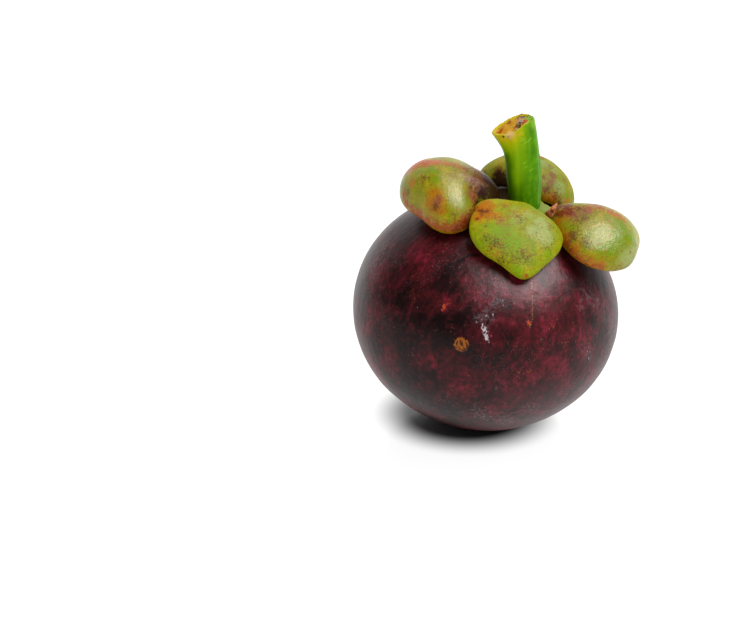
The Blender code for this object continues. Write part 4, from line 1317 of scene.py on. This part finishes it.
floor_mesh = bpy.data.meshes.new("light_table")
half = FLOOR_SIZE / 2
corners = [(-half, -half, 0), (half, -half, 0), (half, half, 0), (-half, half, 0)]
floor_mesh.from_pydata(corners, [], [(0, 1, 2, 3)])
floor = bpy.data.objects.new("light_table", floor_mesh)
bpy.context.scene.collection.objects.link(floor)
acrylic = bpy.data.materials.new("glowing_sheet_with_painted_shadow")
acrylic.use_nodes = True
sheet = acrylic.node_tree.nodes["Principled BSDF"]
sheet.inputs["Base Color"].default_value = linear("#505050")
sheet.inputs["Roughness"].default_value = 0.2
sheet.inputs["IOR"].default_value = 1.49
sheet.inputs["Emission Color"].default_value = linear("#FFFFFF")
spot = add_node(acrylic.node_tree, "ShaderNodeNewGeometry").outputs["Position"]
settings = {"operation": "DISTANCE", 1: SHADOW_MIDDLE}
away = add_node(acrylic.node_tree, "ShaderNodeVectorMath", settings, {0: spot}).outputs["Value"]
settings = {"interpolation_type": "SMOOTHSTEP", 1: SHADOW_INNER, 2: SHADOW_OUTER, 4: SHEET_GLOW}
glow_round_painted_shadow = add_node(acrylic.node_tree, "ShaderNodeMapRange", settings, {0: away}).outputs[0]
acrylic.node_tree.links.new(glow_round_painted_shadow, sheet.inputs["Emission Strength"])
floor_mesh.materials.append(acrylic)

# %% [markdown]
# A glossy fruit shows the room like a mirror, so the room is part of its looks. One large soft box
# hangs overhead to the right and gives each sepal a window of light. It is two lamps in one place:
# one shows in the gloss alone and one lights the matt colour alone, so each can be set to its own
# strength. The walls behind are white, which draws a pale rim. The side that the camera stands on
# is dim, which keeps the dark rind from being washed out. A fill light on the left opens the
# shadows. It is kept out of the gloss, as a polarising filter does in a real studio.

# %% World and lights
FRUIT_MIDDLE = Vector((0.0, 0.0, 0.028))
world = bpy.data.worlds.new("studio_walls")
bpy.context.scene.world = world
world.use_nodes = True
walls = world.node_tree
wall_place = add_node(walls, "ShaderNodeTexCoord").outputs["Generated"]
split = add_node(walls, "ShaderNodeSeparateXYZ", links={0: wall_place})
wall_range = {"interpolation_type": "SMOOTHSTEP", 1: 0.35, 2: 0.95, 3: 0.08, 4: 1.2}
wall_glow = add_node(walls, "ShaderNodeMapRange", wall_range, {0: split.outputs["Y"]})
ray = add_node(walls, "ShaderNodeLightPath").outputs["Is Camera Ray"]
seen = add_node(walls, "ShaderNodeMix", {3: 1.0}, {0: ray, 2: wall_glow.outputs[0]})
walls.links.new(seen.outputs[0], walls.nodes["Background"].inputs["Strength"])
walls.nodes["Background"].inputs["Color"].default_value = (1.0, 1.0, 1.0, 1.0)

SOFT_BOXES = {
    "soft_box_in_gloss": dict(
        place=(0.48, -0.20, 0.75), back=(0, 0, 1), width=0.80, depth=0.75, radiance=19.0, gloss=True,
    ),
    "soft_box_in_matt": dict(
        place=(0.48, -0.20, 0.75), back=(0, 0, 1), width=0.80, depth=0.75, radiance=8.0, gloss=False,
    ),
    "fill_light_left": dict(
        place=(-0.60, -0.35, 0.25), back=(-0.8, -0.45, 0.3), width=0.7, depth=0.7, radiance=1.2,
        gloss=False,
    ),
}
for name, box in SOFT_BOXES.items():
    light = bpy.data.lights.new(name, "AREA")
    light.shape = "RECTANGLE"
    light.size, light.size_y = box["width"], box["depth"]
    light.energy = box["radiance"] * math.pi * box["width"] * box["depth"]
    lamp = bpy.data.objects.new(name, light)
    bpy.context.scene.collection.objects.link(lamp)
    lamp.location = FRUIT_MIDDLE + Vector(box["place"])
    lamp.rotation_euler = Vector(box["back"]).to_track_quat("Z", "Y").to_euler()
    lamp.visible_glossy = box["gloss"]
    lamp.visible_diffuse = not box["gloss"]
bpy.context.scene.view_settings.view_transform = "Standard"

# %% [markdown]
# ## The camera
#
# The photograph looks down by 22 degrees from the front, through a short telephoto lens. Its frame
# is 738 by 620 pixels, with the fruit right of the middle.

# %% Camera
LENS = 90.0
CAMERA_ELEVATION = math.radians(22)
CAMERA_DISTANCE = 414.6
CAMERA_TARGET = BODY_CENTRE + np.array((-26.0, 0.0, -0.1))
camera_data = bpy.data.cameras.new("camera")
camera_data.lens = LENS
camera_data.clip_start = 0.01
camera = bpy.data.objects.new("camera", camera_data)
bpy.context.scene.collection.objects.link(camera)
forward = Vector((0.0, math.cos(CAMERA_ELEVATION), -math.sin(CAMERA_ELEVATION)))
camera.location = (Vector(CAMERA_TARGET) - forward * CAMERA_DISTANCE) * MM
camera.rotation_euler = forward.to_track_quat("-Z", "Y").to_euler()
bpy.context.scene.camera = camera
